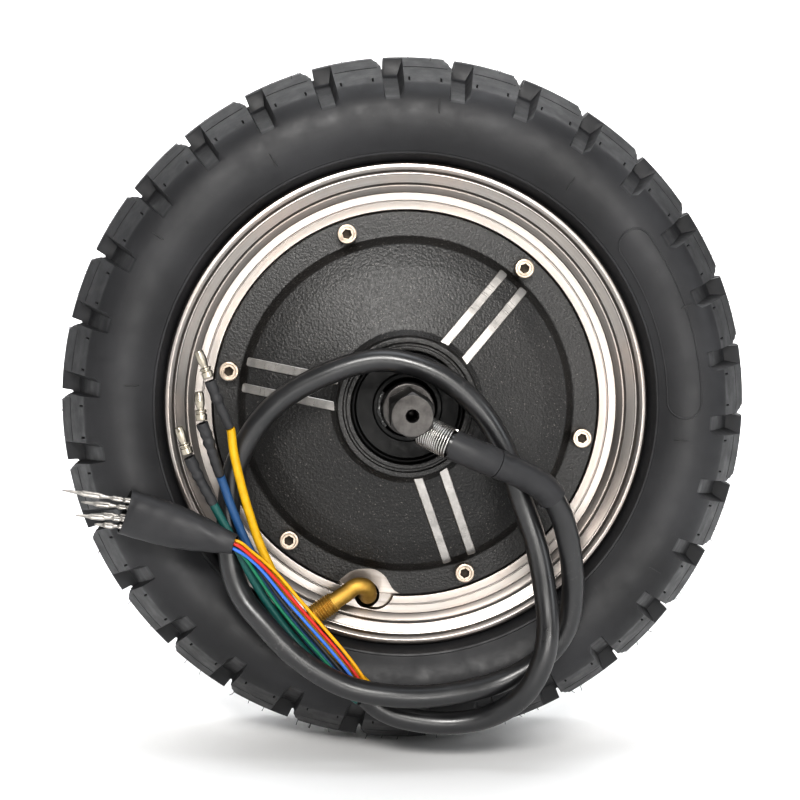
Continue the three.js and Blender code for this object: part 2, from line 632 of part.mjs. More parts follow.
for (const [colour, lead] of Object.entries(PHASE_LEADS)) {
  const [tip, tail] = lead.bullet.map((row) => vec(...row));
  add(`bullet_plug_${colour}`, turnedAlong(BULLET, 8, tip, tail), FINISH.nickel);
  add(`bullet_shrink_${colour}`, tube(curve(lead.shrink), 2.3, 6, 5), FINISH.shrink);
  // The lead starts just behind its heat-shrink.
  const route = curve(lead.wire);
  const path = subCurve(route, 0.8, route.getLength(), 14);
  add(`phase_lead_${colour}`, tube(path, 1.5, 5, 14), WIRE_FINISH[colour]);
}

// ----------------------- signal leads, their terminals and the flattened tube
const WIDE_END = vec(-98.1, -48.6, -36.5);
const NARROW_END = vec(-59.4, -55.8, -46.6);
const SIGNAL_TUBE_WALL = 0.55;
// The tube's own axes: along it, up from its flat side (nearly -Y), and across.
const along = NARROW_END.clone().sub(WIDE_END).normalize();
const up = vec(0, -1, 0).addScaledVector(along, along.y).normalize();
const across = along.clone().cross(up);

function signalTube() {
  const length = WIDE_END.distanceTo(NARROW_END);
  const outside = [
    [8.0, 0], [7.9, length * 0.3], [7.2, length * 0.55], [5.2, length * 0.8], [3.4, length],
  ];
  const inside = outside.slice().reverse().map(([radius, y]) => [radius - SIGNAL_TUBE_WALL, y]);
  const section = flat([...outside, ...inside, outside[0]]);
  const geometry = new THREE.LatheGeometry(section, 12);
  geometry.scale(1, 1, 0.62);
  // The flattening fades towards the narrow end, which is nearly round.
  const points = geometry.attributes.position;
  for (let i = 0; i < points.count; i++) {
    const share = THREE.MathUtils.clamp(points.getY(i) / length, 0, 1);
    points.setZ(i, points.getZ(i) * (1 + 0.5 * share));
  }
  geometry.applyMatrix4(new THREE.Matrix4().makeBasis(across, along, up).setPosition(WIDE_END));
  return toManifold(geometry);
}
add('signal_tube', signalTube(), FINISH.shrink);

// bundleDeg: place in the bundle; root: terminal root [across, up] in the tube;
// tip: terminal tip; run: [x, y, z] rows from the narrow end back to the cable.
const SIGNAL_LEADS = {
  red: {
    bundleDeg: 108, root: [-4.6, 1.2], tip: [-119.8, -48.4, -29.2],
    run: [
      [-58.0, -56.9, -47.0], [-54.2, -55.5, -50.3], [-49.9, -53.4, -54.5], [-46.6, -52.0, -58.2],
      [-43.4, -50.7, -62.1], [-40.3, -49.7, -66.1], [-36.2, -48.5, -71.1], [-32.9, -47.7, -75.0],
      [-29.6, -47.0, -79.0], [-26.2, -46.4, -82.9], [-22.9, -45.9, -87.0], [-19.0, -45.5, -92.1],
      [-16.1, -45.3, -96.3], [-13.4, -45.2, -100.9],
    ],
  },
  yellow: {
    bundleDeg: 180, root: [-1.8, -1.4], tip: [-113.6, -46.0, -33.6],
    run: [
      [-57.5, -55.7, -46.0], [-54.1, -53.7, -49.2], [-49.5, -51.8, -53.3], [-45.9, -50.7, -56.8],
      [-42.5, -49.8, -60.7], [-39.3, -49.0, -64.7], [-35.2, -48.0, -69.7], [-31.8, -47.4, -73.7],
      [-28.5, -46.8, -77.7], [-25.1, -46.4, -81.7], [-21.8, -46.0, -85.7], [-17.8, -45.6, -90.9],
      [-14.9, -45.4, -95.2], [-12.5, -45.2, -99.9],
    ],
  },
  green: {
    bundleDeg: 324, root: [4.9, -0.4], tip: [-108.6, -48.4, -41.0],
    run: [
      [-58.6, -54.7, -48.8], [-55.7, -53.1, -52.3], [-52.4, -51.5, -57.5], [-49.7, -50.5, -61.8],
      [-47.0, -49.5, -66.0], [-44.1, -48.7, -70.2], [-40.2, -47.8, -75.3], [-36.9, -47.1, -79.3],
      [-33.6, -46.5, -83.2], [-30.3, -46.0, -87.1], [-26.9, -45.7, -91.1], [-22.7, -45.4, -96.0],
      [-19.5, -45.3, -100.1], [-16.0, -45.2, -103.9],
    ],
  },
  blue: {
    bundleDeg: 36, root: [1.9, 1.7], tip: [-114.8, -50.6, -37.6],
    run: [
      [-58.5, -56.4, -48.7], [-54.9, -54.4, -51.4], [-50.7, -52.5, -55.7], [-47.6, -51.3, -59.6],
      [-44.6, -50.2, -63.6], [-41.5, -49.2, -67.6], [-37.4, -48.2, -72.5], [-34.1, -47.4, -76.5],
      [-30.7, -46.8, -80.4], [-27.4, -46.3, -84.3], [-24.1, -45.9, -88.3], [-20.1, -45.6, -93.4],
      [-17.2, -45.5, -97.6], [-14.2, -45.2, -101.9],
    ],
  },
  black: {
    bundleDeg: 252, root: [1.2, -1.6], tip: [-110.2, -46.2, -37.9],
    run: [
      [-58.1, -54.3, -47.2], [-55.2, -52.4, -50.8], [-51.7, -50.8, -55.8], [-48.8, -50.0, -59.9],
      [-45.9, -49.2, -64.2], [-42.8, -48.6, -68.4], [-38.9, -47.8, -73.5], [-35.6, -47.2, -77.5],
      [-32.2, -46.6, -81.5], [-28.9, -46.1, -85.5], [-25.5, -45.8, -89.5], [-21.4, -45.4, -94.6],
      [-18.3, -45.2, -98.8], [-15.1, -45.2, -102.9],
    ],
  },
};

// A point in the tube's own axes, measured from one of its ends.
function inTube(end, distance, sideways, height) {
  return end.clone().addScaledVector(along, distance)
    .addScaledVector(across, sideways).addScaledVector(up, height);
}

// Inside the tube a lead runs from the crimp to the bundle at the narrow end.
function signalLead({ bundleDeg, root, run }) {
  const inBundle = (distance, radius) => inTube(
    NARROW_END, distance, radius * Math.cos(rad(bundleDeg)), radius * Math.sin(rad(bundleDeg)));
  const path = curve([
    inTube(WIDE_END, 3.8, ...root), inTube(WIDE_END, 11.2, ...root),
    inBundle(-12, 1.5), inBundle(-3, 1.3), ...run,
  ]);
  return tube(path, 0.55, 4, 22);
}

function terminal(lead) {
  const root = inTube(WIDE_END, 3.2, ...lead.root);
  const tip = vec(...lead.tip);
  const length = tip.distanceTo(root);
  return turnedAlong([
    [0, 0], [0.9, 0], [0.7, length * 0.5], [1.15, length * 0.6],
    [1.1, length * 0.8], [0.35, length], [0, length],
  ], 5, root, tip);
}
for (const [colour, lead] of Object.entries(SIGNAL_LEADS)) {
  add(`signal_lead_${colour}`, signalLead(lead), WIRE_FINISH[colour]);
  add(`terminal_${colour}`, terminal(lead), FINISH.tin);
}

export default group;
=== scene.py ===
"""A hub-motor wheel with its tyre, covers, axle, cable, valve and motor leads, in a studio.

The axle lies along Y and the wheel turns in the XZ plane, with its centre at the origin.
The front is the cable side, towards -Y. Lengths are millimetres unless a comment says metres;
a mesh is scaled to metres as it is made. In profiles and stations, r is the distance from the
axle's line and a is the distance from the wheel's middle plane towards the front (-Y).
Directions round the wheel are degrees from +X towards +Z.
"""
import math
import bpy
import bmesh
import numpy as np
from mathutils import Matrix, Vector


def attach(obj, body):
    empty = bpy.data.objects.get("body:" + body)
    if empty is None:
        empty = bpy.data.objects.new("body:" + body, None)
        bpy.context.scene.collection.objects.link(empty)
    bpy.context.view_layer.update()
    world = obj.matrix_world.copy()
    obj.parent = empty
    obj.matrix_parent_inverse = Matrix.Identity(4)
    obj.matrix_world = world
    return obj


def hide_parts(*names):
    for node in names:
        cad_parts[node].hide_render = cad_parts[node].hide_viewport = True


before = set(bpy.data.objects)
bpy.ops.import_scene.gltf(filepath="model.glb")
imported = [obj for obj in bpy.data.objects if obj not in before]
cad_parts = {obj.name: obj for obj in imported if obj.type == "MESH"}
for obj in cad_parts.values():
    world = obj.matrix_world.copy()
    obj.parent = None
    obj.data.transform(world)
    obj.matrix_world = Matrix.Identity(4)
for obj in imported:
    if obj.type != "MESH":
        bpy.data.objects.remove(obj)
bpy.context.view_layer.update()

MM = 0.001                    # metres in a millimetre
MERGE = 0.002                 # joins the repeated points where a profile meets its axis
SIDES = ((1, "front"), (-1, "rear"))
SCREW_CIRCLE_R = 64.8
SCREW_DIRS = [49.8 + 60 * k for k in range(6)]
RIB_DIRS = SCREW_DIRS[::2]
VALVE_DIR = 259.2
rng = np.random.default_rng(7)    # shared by the vent hairs, then the turns of the screws


# ------------------------------------------------------------------ mesh helpers
# A shape is a pair: vertices in millimetres, and faces as lists of vertex numbers.
def link(obj):
    bpy.context.scene.collection.objects.link(obj)
    return obj


def merge_points(bm, distance):
    """Joins points closer than distance, in metres, and drops the faces that collapse."""
    bmesh.ops.remove_doubles(bm, verts=bm.verts, dist=distance)
    bmesh.ops.dissolve_degenerate(bm, edges=bm.edges, dist=1e-7)


def write_shaded(bm, mesh, sharp):
    """Writes bm to mesh, smooth except at edges that bend more than sharp degrees."""
    limit = math.radians(sharp)
    for face in bm.faces:
        face.smooth = True
    for edge in bm.edges:
        edge.smooth = not (len(edge.link_faces) == 2 and edge.calc_face_angle(0) > limit)
    bm.to_mesh(mesh)
    bm.free()
    mesh.update()


def mesh_object(name, shape, material, sharp=32, merge=0.0, second=None, use_second=None):
    """An object from a shape. use_second holds 1 for each face that takes the second material."""
    verts, faces = shape
    mesh = bpy.data.meshes.new(name)
    mesh.from_pydata((np.asarray(verts, float) * MM).tolist(), [], faces)
    if second:
        mesh.polygons.foreach_set("material_index", np.asarray(use_second, np.int32))
    bm = bmesh.new()
    bm.from_mesh(mesh)
    if merge:
        merge_points(bm, merge * MM)
    bmesh.ops.recalc_face_normals(bm, faces=bm.faces)
    write_shaded(bm, mesh, sharp)
    obj = link(bpy.data.objects.new(name, mesh))
    mesh.materials.append(material)
    if second:
        mesh.materials.append(second)
    return obj


def grid_faces(rows, cols, wrap_rows=True, wrap_cols=True):
    """Quads over rows x cols vertices, stored row by row."""
    row = np.arange(rows if wrap_rows else rows - 1)[:, None]
    col = np.arange(cols if wrap_cols else cols - 1)[None]
    row2, col2 = (row + 1) % rows, (col + 1) % cols
    corners = (row * cols + col, row * cols + col2, row2 * cols + col2, row2 * cols + col)
    return np.stack(corners, -1).reshape(-1, 4).tolist()


def end_fans(rows, sides):
    """Triangles that close the first and last ring onto the two vertices after the rings."""
    centre, last = rows * sides, (rows - 1) * sides
    first_fan = [[centre, (k + 1) % sides, k] for k in range(sides)]
    last_fan = [[centre + 1, last + k, last + (k + 1) % sides] for k in range(sides)]
    return first_fan, last_fan


def ring_solid(ring_points, sides, end_points):
    """A solid through rings of points, closed onto a point at each end."""
    rows = len(ring_points) // sides
    faces = grid_faces(rows, sides, wrap_rows=False)
    for pair in zip(*end_fans(rows, sides)):
        faces += pair
    return ring_points + end_points, faces


def joined(shapes):
    verts, faces, offset = [], [], 0
    for part_verts, part_faces in shapes:
        verts.append(np.asarray(part_verts, float))
        faces += [[offset + k for k in face] for face in part_faces]
        offset += len(part_verts)
    return np.vstack(verts), faces


def unit(vector):
    return vector / np.linalg.norm(vector)


def polar(r, degrees, a):
    angle = math.radians(degrees)
    return np.array([r * math.cos(angle), -a, r * math.sin(angle)])


def around_axle(r, a, angles):
    """A row of (r, a) points at each of the angles, a column in radians."""
    x = r * np.cos(angles)
    return np.stack([x, np.broadcast_to(-a, x.shape), r * np.sin(angles)], -1)


def fillet(profile, steps=4):
    """Rounds an open polyline of [r, a, rounding] rows; the result is [r, a] points."""
    corners = [np.array(row[:2], float) for row in profile]
    out = [corners[0]]
    for i in range(1, len(corners) - 1):
        corner, rounding = corners[i], profile[i][2]
        if rounding <= 0:
            out.append(corner)
            continue
        before, after = corners[i - 1] - corner, corners[i + 1] - corner
        len_before, len_after = np.linalg.norm(before), np.linalg.norm(after)
        before, after = before / len_before, after / len_after
        half_angle = math.acos(np.clip(np.dot(before, after), -1, 1)) / 2
        if half_angle > math.radians(88):        # nearly straight
            out.append(corner)
            continue
        reach = min(rounding / math.tan(half_angle), 0.45 * len_before, 0.45 * len_after)
        start, end = corner + before * reach, corner + after * reach
        for k in range(steps + 1):
            w = k / steps
            out.append((1 - w) ** 2 * start + 2 * w * (1 - w) * corner + w * w * end)
    out.append(corners[-1])
    return out


def lathe(name, profile, segs, material, closed=True, sharp=32, side=1):
    """[r, a] points turned about the axle; side -1 mirrors them to the rear."""
    profile = np.array(profile, float)
    angles = np.linspace(0, 2 * math.pi, segs, endpoint=False)[:, None]
    verts = around_axle(profile[None, :, 0], side * profile[None, :, 1], angles).reshape(-1, 3)
    faces = grid_faces(segs, len(profile), wrap_cols=closed)
    return mesh_object(name, (verts, faces), material, sharp, merge=0 if closed else MERGE)


def lathe_along(profile, segs, start, end):
    """[radius, height] points turned about the line from start towards end."""
    start, end = np.array(start, float), np.array(end, float)
    y = unit(end - start)
    x = unit(np.cross(y, [0, 1.0, 0] if abs(y[1]) < 0.9 else [1.0, 0, 0]))
    z = np.cross(x, y)
    profile = np.array(profile, float)
    angles = np.linspace(0, 2 * math.pi, segs, endpoint=False)[:, None, None]
    outward = np.cos(angles) * x + np.sin(angles) * z
    verts = start + profile[None, :, 1, None] * y + profile[None, :, 0, None] * outward
    return verts.reshape(-1, 3), grid_faces(segs, len(profile), wrap_cols=False)


def smooth_path(points, steps):
    """Centripetal Catmull-Rom curve through the points, steps to each span."""
    P = [np.array(p, float) for p in points]
    P = [2 * P[0] - P[1]] + P + [2 * P[-1] - P[-2]]
    out = []
    for p0, p1, p2, p3 in zip(P, P[1:], P[2:], P[3:]):
        d0, d1, d2 = (max(np.linalg.norm(q - p) ** 0.5, 1e-4)
                      for p, q in ((p0, p1), (p1, p2), (p2, p3)))
        m1 = ((p1 - p0) / d0 - (p2 - p0) / (d0 + d1) + (p2 - p1) / d1) * d1
        m2 = ((p2 - p1) / d1 - (p3 - p1) / (d1 + d2) + (p3 - p2) / d2) * d1
        for k in range(steps):
            t = k / steps
            out.append((2 * t**3 - 3 * t**2 + 1) * p1 + (t**3 - 2 * t**2 + t) * m1
                       + (-2 * t**3 + 3 * t**2) * p2 + (t**3 - t**2) * m2)
    out.append(P[-2])
    return np.array(out)


def distances(path):
    """Distance along the path to each of its points."""
    return np.r_[0, np.cumsum(np.linalg.norm(np.diff(path, axis=0), axis=1))]


def interp_points(at, stations, points):
    return np.stack([np.interp(at, stations, points[:, k]) for k in range(3)], 1)


def resample(path, step, start=0, end=None):
    """Even steps of about the given length, from distance start to distance end."""
    along = distances(path)
    end = along[-1] if end is None else end
    count = max(2, int(round((end - start) / step)) + 1)
    return interp_points(np.linspace(start, end, count), along, path)


def path_frames(path):
    """Two directions across the path at each point, which turn as little as possible."""
    tangent = np.gradient(path, axis=0)
    tangent /= np.linalg.norm(tangent, axis=1)[:, None]
    ref = np.array([0, 1.0, 0]) if abs(tangent[0][1]) < 0.9 else np.array([1.0, 0, 0])
    normal = np.zeros_like(path)
    normal[0] = unit(np.cross(tangent[0], ref))
    for i in range(1, len(path)):
        normal[i] = unit(normal[i - 1] - tangent[i] * np.dot(normal[i - 1], tangent[i]))
    return normal, np.cross(tangent, normal)


def tube(path, radius, sides, cap=True, bump=None):
    """A tube with one radius, or one for each point; bump(i, angles) adds to the radius."""
    normal, binormal = path_frames(path)
    rows = len(path)
    angles = np.linspace(0, 2 * math.pi, sides, endpoint=False)
    radii = np.repeat(np.full(rows, radius, float)[:, None], sides, 1)
    if bump is not None:
        radii = radii + bump(np.arange(rows)[:, None], angles[None, :])
    verts = (path[:, None] + (radii * np.cos(angles))[..., None] * normal[:, None]
             + (radii * np.sin(angles))[..., None] * binormal[:, None]).reshape(-1, 3)
    faces = grid_faces(rows, sides, wrap_rows=False)
    if cap:
        verts = np.vstack([verts, path[0], path[-1]])
        first_fan, last_fan = end_fans(rows, sides)
        faces += first_fan + last_fan
    return verts, faces


def sleeve(path, outer_r, inner_r, sides, bump):
    """A tube wall: an outer and an inner skin joined at both ends."""
    outer, outer_faces = tube(path, outer_r, sides, cap=False, bump=bump)
    inner, inner_faces = tube(path, inner_r, sides, cap=False)
    k = len(outer)
    last = (len(path) - 1) * sides
    faces = outer_faces + [[k + q for q in face[::-1]] for face in inner_faces]
    for j in range(sides):
        j2 = (j + 1) % sides
        faces.append([j2, j, k + j, k + j2])
        faces.append([last + j, last + j2, k + last + j2, k + last + j])
    return np.vstack([outer, inner]), faces


def end_swells(base, count, first, first_fade, last, last_fade):
    """Radii that differ from base by first and last at the ends and fade over some points."""
    i = np.arange(count)
    return base + first * np.exp(-i / first_fade) + last * np.exp(-(count - 1 - i) / last_fade)


def wrinkles(seed, height):
    draws = np.random.default_rng(seed)
    rates = draws.uniform(0.25, 1.1, 6)
    phases = draws.uniform(0, 6.28, 6)
    lobes = draws.integers(1, 5, 6)
    return lambda i, angles: height * sum(
        np.sin(rate * i + phase + lobe * angles)
        for rate, phase, lobe in zip(rates, phases, lobes)) / 2.2


def signed_power(value, power):
    return math.copysign(abs(value) ** power, value)


def tool(shape, merge=MERGE):
    """A solid for a boolean; its own material never reaches the part."""
    return mesh_object("tool", shape, AXLE, merge=merge)


def rod(start, end, radius, segs=48):
    length = np.linalg.norm(np.array(end) - np.array(start))
    return tool(lathe_along([[0, 0], [radius, 0], [radius, length], [0, length]],
                            segs, start, end))


def apply_boolean(part, operation, tools):
    """Applies exact booleans to the part's mesh and removes the tools."""
    for other in tools:
        modifier = part.modifiers.new("boolean", "BOOLEAN")
        modifier.operation = operation
        modifier.solver = "EXACT"
        modifier.object = other
    bpy.context.view_layer.update()
    graph = bpy.context.evaluated_depsgraph_get()
    mesh = bpy.data.meshes.new_from_object(part.evaluated_get(graph))
    part.modifiers.clear()
    old = part.data
    part.data = mesh
    mesh.name = old.name
    bpy.data.meshes.remove(old)
    for other in tools:
        bpy.data.objects.remove(other)


def cut(part, tools, sharp):
    apply_boolean(part, "DIFFERENCE", tools)
    bm = bmesh.new()
    bm.from_mesh(part.data)
    merge_points(bm, 1e-6)
    write_shaded(bm, part.data, sharp)


def piece(obj, body, slot, *nodes):
    """Parents the object to its moving body and hides the CAD nodes it replaces; slot is not used.
    """
    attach(obj, body)
    if nodes:
        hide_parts(*nodes)


# --------------------------------------------------------------------- materials
SHADER_INPUTS = {"color": "Base Color", "rough": "Roughness", "metal": "Metallic",
                 "spec": "Specular IOR Level", "aniso": "Anisotropic", "tangent": "Tangent"}


class Nodes:
    """Adds nodes to a tree. An input takes a socket, a number or an (r, g, b) colour."""

    def __init__(self, tree):
        self.tree = tree

    def feed(self, value, socket):
        if isinstance(value, bpy.types.NodeSocket):
            self.tree.links.new(value, socket)
        else:
            socket.default_value = (*value, 1) if isinstance(value, tuple) else value

    def node(self, kind, inputs, **settings):
        node = self.tree.nodes.new(kind)
        for key, value in settings.items():
            setattr(node, key, value)
        for key, value in inputs.items():
            self.feed(value, node.inputs[key])
        return node

    def math(self, operation, *values):
        inputs = dict(enumerate(values))
        return self.node("ShaderNodeMath", inputs, operation=operation).outputs[0]

    def remap(self, value, span=(0.3, 0.7), to=(0, 1)):
        return self.node("ShaderNodeMapRange", {
            "From Min": span[0], "From Max": span[1], "To Min": to[0], "To Max": to[1],
            "Value": value}).outputs["Result"]


class Look(Nodes):
    """A procedural Principled material in object coordinates, which are metres."""

    def __init__(self, name):
        self.material = bpy.data.materials.new(name)
        self.material.use_nodes = True
        super().__init__(self.material.node_tree)
        self.shader = self.tree.nodes["Principled BSDF"]
        self.place = self.node("ShaderNodeTexCoord", {}).outputs["Object"]
        self.normal = None

    def noise(self, scale, detail=4, rough=0.6, vector=None, distortion=0.0):
        return self.node("ShaderNodeTexNoise", {
            "Scale": scale, "Detail": detail, "Roughness": rough, "Distortion": distortion,
            "Vector": self.place if vector is None else vector}).outputs["Fac"]

    def mix(self, factor, first, second, blend="MIX"):
        return self.node("ShaderNodeMix", {0: factor, 6: first, 7: second},
                         data_type="RGBA", blend_type=blend).outputs[2]

    def ramp(self, factor, stops):
        """stops are (position, grey)."""
        node = self.node("ShaderNodeValToRGB", {"Fac": factor})
        elements = node.color_ramp.elements
        while len(elements) < len(stops):
            elements.new(0.5)
        for k, (position, grey) in enumerate(stops):
            elements[k].position = position
            elements[k].color = (grey, grey, grey, 1)
        return node.outputs["Color"]

    def set(self, **values):
        for key, value in values.items():
            self.feed(value, self.shader.inputs[SHADER_INPUTS[key]])

    def bump(self, height, strength, distance):
        """Adds a bump layer on top of the earlier ones; distance is in millimetres."""
        inputs = {"Strength": strength, "Distance": distance * MM, "Height": height}
        if self.normal is not None:
            inputs["Normal"] = self.normal
        self.normal = self.node("ShaderNodeBump", inputs).outputs["Normal"]
        self.feed(self.normal, self.shader.inputs["Normal"])

    def wheel_coords(self):
        """The radius from the axle, and a vector of that radius and Y for turned lines."""
        xyz = self.node("ShaderNodeSeparateXYZ", {0: self.place}).outputs
        squares = [self.math("MULTIPLY", xyz[k], xyz[k]) for k in (0, 2)]
        radius = self.math("SQRT", self.math("ADD", *squares))
        return radius, self.node("ShaderNodeCombineXYZ", {0: radius, 1: xyz[1]}).outputs[0]


def shade(color, factor):
    return tuple(min(1, factor * x) for x in color)


def tyre_look():
    look = Look("tyre_rubber_looks")
    big = look.noise(scale=22, detail=3, rough=0.5)
    mid = look.noise(scale=160)
    fine = look.noise(scale=1500, detail=3)
    dust = look.noise(scale=420, detail=6, rough=0.75)
    color = look.mix(look.remap(big, span=(0.35, 0.7)),
                     (0.015, 0.015, 0.0162), (0.031, 0.031, 0.0335))
    color = look.mix(look.remap(dust, span=(0.62, 0.80), to=(0, 0.35)),
                     color, (0.075, 0.070, 0.065))
    look.set(color=color, rough=look.remap(mid, to=(0.42, 0.60)), spec=0.46)
    look.bump(mid, strength=0.12, distance=0.5)
    look.bump(fine, strength=0.18, distance=0.12)
    return look.material


def rubber_look(name, color, rough):
    look = Look(name)
    grain = look.noise(scale=400)
    look.set(color=look.mix(grain, shade(color, 0.8), shade(color, 1.5)),
             rough=look.remap(grain, to=(rough - 0.08, rough + 0.1)), spec=0.28)
    look.bump(grain, strength=0.15, distance=0.15)
    return look.material


# Painted highlights and shade on the turned rim: brightness by radius from its inner edge, 70 mm
# out, to its lip, 87 mm out.
RIM_SPAN = (0.070, 0.087)     # metres
RIM_PAINTED_LIGHT_BANDS = [(0.0, 0.80), (0.17, 0.80), (0.18, 0.62), (0.20, 0.84), (0.35, 0.86), (0.40, 0.60),
             (0.52, 0.66), (0.55, 0.86), (0.72, 0.90), (0.745, 0.28), (0.76, 0.95), (1.0, 1.0)]


def rim_look():
    look = Look("rim_turned_looks")
    radius, turned = look.wheel_coords()
    lines = look.noise(scale=5200, detail=2, rough=0.5, vector=turned)
    bands = look.noise(scale=420, detail=3, vector=turned)
    warm_reflection_patches = look.noise(scale=38, rough=0.55)
    spots = look.noise(scale=700, detail=5, rough=0.7)
    color = look.mix(look.remap(bands), (0.34, 0.312, 0.29), (0.48, 0.455, 0.435))
    # pinkish patches: a painted reflection of warm surroundings on the metal
    color = look.mix(look.remap(warm_reflection_patches, span=(0.45, 0.75), to=(0, 0.35)),
                     color, (0.60, 0.46, 0.39))
    # painted highlight and shade bands multiply the colour by radius
    painted_light = look.ramp(look.remap(radius, span=RIM_SPAN), RIM_PAINTED_LIGHT_BANDS)
    color = look.mix(1.0, color, painted_light, blend="MULTIPLY")
    rough = look.math("ADD", look.remap(lines, span=(0.25, 0.75), to=(0.30, 0.40)),
                      look.remap(spots, span=(0.5, 0.8), to=(0.0, 0.10)))
    tangent = look.node("ShaderNodeTangent", {}, direction_type="RADIAL", axis="Y").outputs[0]
    look.set(color=color, metal=1.0, rough=rough, aniso=0.45, tangent=tangent)
    look.bump(lines, strength=0.10, distance=0.015)
    return look.material


def powder_look():
    look = Look("cover_powder_coat_looks")
    grain = look.noise(scale=900, detail=5, rough=0.62)
    pebble = look.node("ShaderNodeTexVoronoi", {"Scale": 1150, "Vector": look.place},
                       feature="F1").outputs["Distance"]
    big = look.noise(scale=26, detail=3, rough=0.5)
    speck = look.noise(scale=1700, detail=2, rough=0.5)
    color = look.mix(look.remap(big, span=(0.35, 0.68)),
                     (0.0060, 0.0056, 0.0053), (0.0125, 0.0113, 0.0104))
    color = look.mix(look.remap(speck, span=(0.64, 0.74), to=(0, 0.7)),
                     color, (0.20, 0.185, 0.17))
    look.set(color=color, rough=look.remap(grain, to=(0.32, 0.48)), spec=0.62)
    look.bump(grain, strength=0.55, distance=0.34)
    look.bump(pebble, strength=0.35, distance=0.24)
    return look.material


def metal_look(name, dark, light, rough=(0.2, 0.35), scale=260, bump=0.12):
    look = Look(name)
    grain = look.noise(scale=scale, detail=5)
    fine = look.noise(scale=2600, detail=3)
    look.set(color=look.mix(look.remap(grain), dark, light), metal=1.0,
             rough=look.remap(grain, to=rough))
    look.bump(grain, strength=bump, distance=0.08)
    look.bump(fine, strength=bump * 0.8, distance=0.03)
    return look.material


def rib_look():
    look = Look("rib_machined_looks")
    lines = look.noise(scale=2600, detail=3, vector=look.wheel_coords()[1])
    grain = look.noise(scale=240)
    look.set(color=look.mix(look.remap(grain), (0.38, 0.366, 0.35), (0.54, 0.52, 0.50)),
             metal=1.0, rough=look.remap(lines, span=(0.25, 0.75), to=(0.24, 0.42)))
    look.bump(lines, strength=0.35, distance=0.06)
    look.bump(grain, strength=0.1, distance=0.2)
    return look.material


def cable_look():
    look = Look("cable_jacket_looks")
    grain = look.noise(scale=90)
    scuff = look.noise(scale=520, detail=6, rough=0.72)
    zone = look.noise(scale=24, detail=2, rough=0.5)
    amount = look.math("MULTIPLY", look.remap(scuff, span=(0.56, 0.72)),
                       look.remap(zone, span=(0.48, 0.66)))
    color = look.mix(grain, (0.010, 0.010, 0.0108), (0.020, 0.020, 0.0215))
    color = look.mix(look.math("MULTIPLY", amount, 0.55), color, (0.17, 0.16, 0.15))
    rough = look.math("ADD", look.remap(grain, to=(0.27, 0.40)),
                      look.math("MULTIPLY", amount, 0.25))
    look.set(color=color, rough=rough, spec=0.85)
    look.bump(grain, strength=0.12, distance=0.5)
    look.bump(look.noise(scale=1900, detail=3), strength=0.12, distance=0.06)
    return look.material


def shrink_look():
    look = Look("heat_shrink_looks")
    grain = look.noise(scale=140)
    creases = look.noise(scale=620, rough=0.65, distortion=0.4)
    look.set(color=look.mix(grain, (0.022, 0.022, 0.024), (0.044, 0.044, 0.046)),
             rough=look.remap(grain, to=(0.42, 0.58)), spec=0.4)
    look.bump(creases, strength=0.25, distance=0.18)
    look.bump(look.noise(scale=2400, detail=3), strength=0.15, distance=0.05)
    return look.material


def wire_look(name, color):
    look = Look(name)
    grain = look.noise(scale=300)
    dirt = look.noise(scale=900, detail=5, rough=0.7)
    mixed = look.mix(look.remap(grain), shade(color, 0.82), color)
    mixed = look.mix(look.remap(dirt, span=(0.62, 0.8), to=(0, 0.3)), mixed, shade(color, 0.45))
    look.set(color=mixed, rough=look.remap(grain, to=(0.32, 0.5)), spec=0.5)
    look.bump(grain, strength=0.08, distance=0.1)
    return look.material


def two_tone_look(name, dark, light, rough, metal=0.0, scale=300, bump=0.12):
    look = Look(name)
    grain = look.noise(scale=scale, detail=5)
    look.set(color=look.mix(look.remap(grain), dark, light),
             rough=look.remap(grain, to=rough), metal=metal)
    look.bump(grain, strength=bump, distance=0.12)
    return look.material


def plain_look(name, color, rough, **options):
    return two_tone_look(name, shade(color, 0.75), shade(color, 1.15),
                         (max(0.05, rough - 0.08), rough + 0.1), **options)


TYRE, RIM, POWDER, RIB = tyre_look(), rim_look(), powder_look(), rib_look()
# near-black, far darker than the tyre's rubber: the seal's own black plus painted shade of the
# recess it sits in
SEAL = rubber_look("seal_rubber_and_shade_looks", color=(0.0010, 0.0010, 0.0010), rough=0.42)
CABLE, SHRINK = cable_look(), shrink_look()
AXLE = metal_look("axle_black_oxide_looks", dark=(0.044, 0.042, 0.041),
                  light=(0.096, 0.092, 0.089), rough=(0.28, 0.44), scale=300, bump=0.16)
NICKEL = metal_look("screw_nickel_looks", dark=(0.34, 0.285, 0.235), light=(0.52, 0.45, 0.38),
                    rough=(0.28, 0.44), scale=320, bump=0.2)
# dark metal for the inside of the screw sockets: painted shade for their depth
SOCKET_SHADE = metal_look("socket_painted_shade_looks", dark=(0.020, 0.016, 0.013), light=(0.06, 0.05, 0.04),
                    rough=(0.35, 0.55), scale=600, bump=0.3)
SPRING = metal_look("spring_wire_looks", dark=(0.42, 0.41, 0.395), light=(0.60, 0.585, 0.57),
                    rough=(0.24, 0.40), scale=420)
BRASS = metal_look("brass_looks", dark=(0.40, 0.25, 0.06), light=(0.58, 0.39, 0.11),
                   rough=(0.50, 0.62), bump=0.14)
TIN = metal_look("tinned_looks", dark=(0.26, 0.25, 0.235), light=(0.44, 0.42, 0.40),
                 rough=(0.34, 0.55), scale=600, bump=0.35)
GOLD = metal_look("bullet_gold_looks", dark=(0.33, 0.30, 0.245), light=(0.50, 0.465, 0.40),
                  rough=(0.24, 0.40), scale=380, bump=0.16)
HAIR = plain_look("vent_hair_looks", color=(0.035, 0.035, 0.036), rough=0.6)
SEALANT = plain_look("sealant_looks", color=(0.05, 0.05, 0.05), rough=0.12)
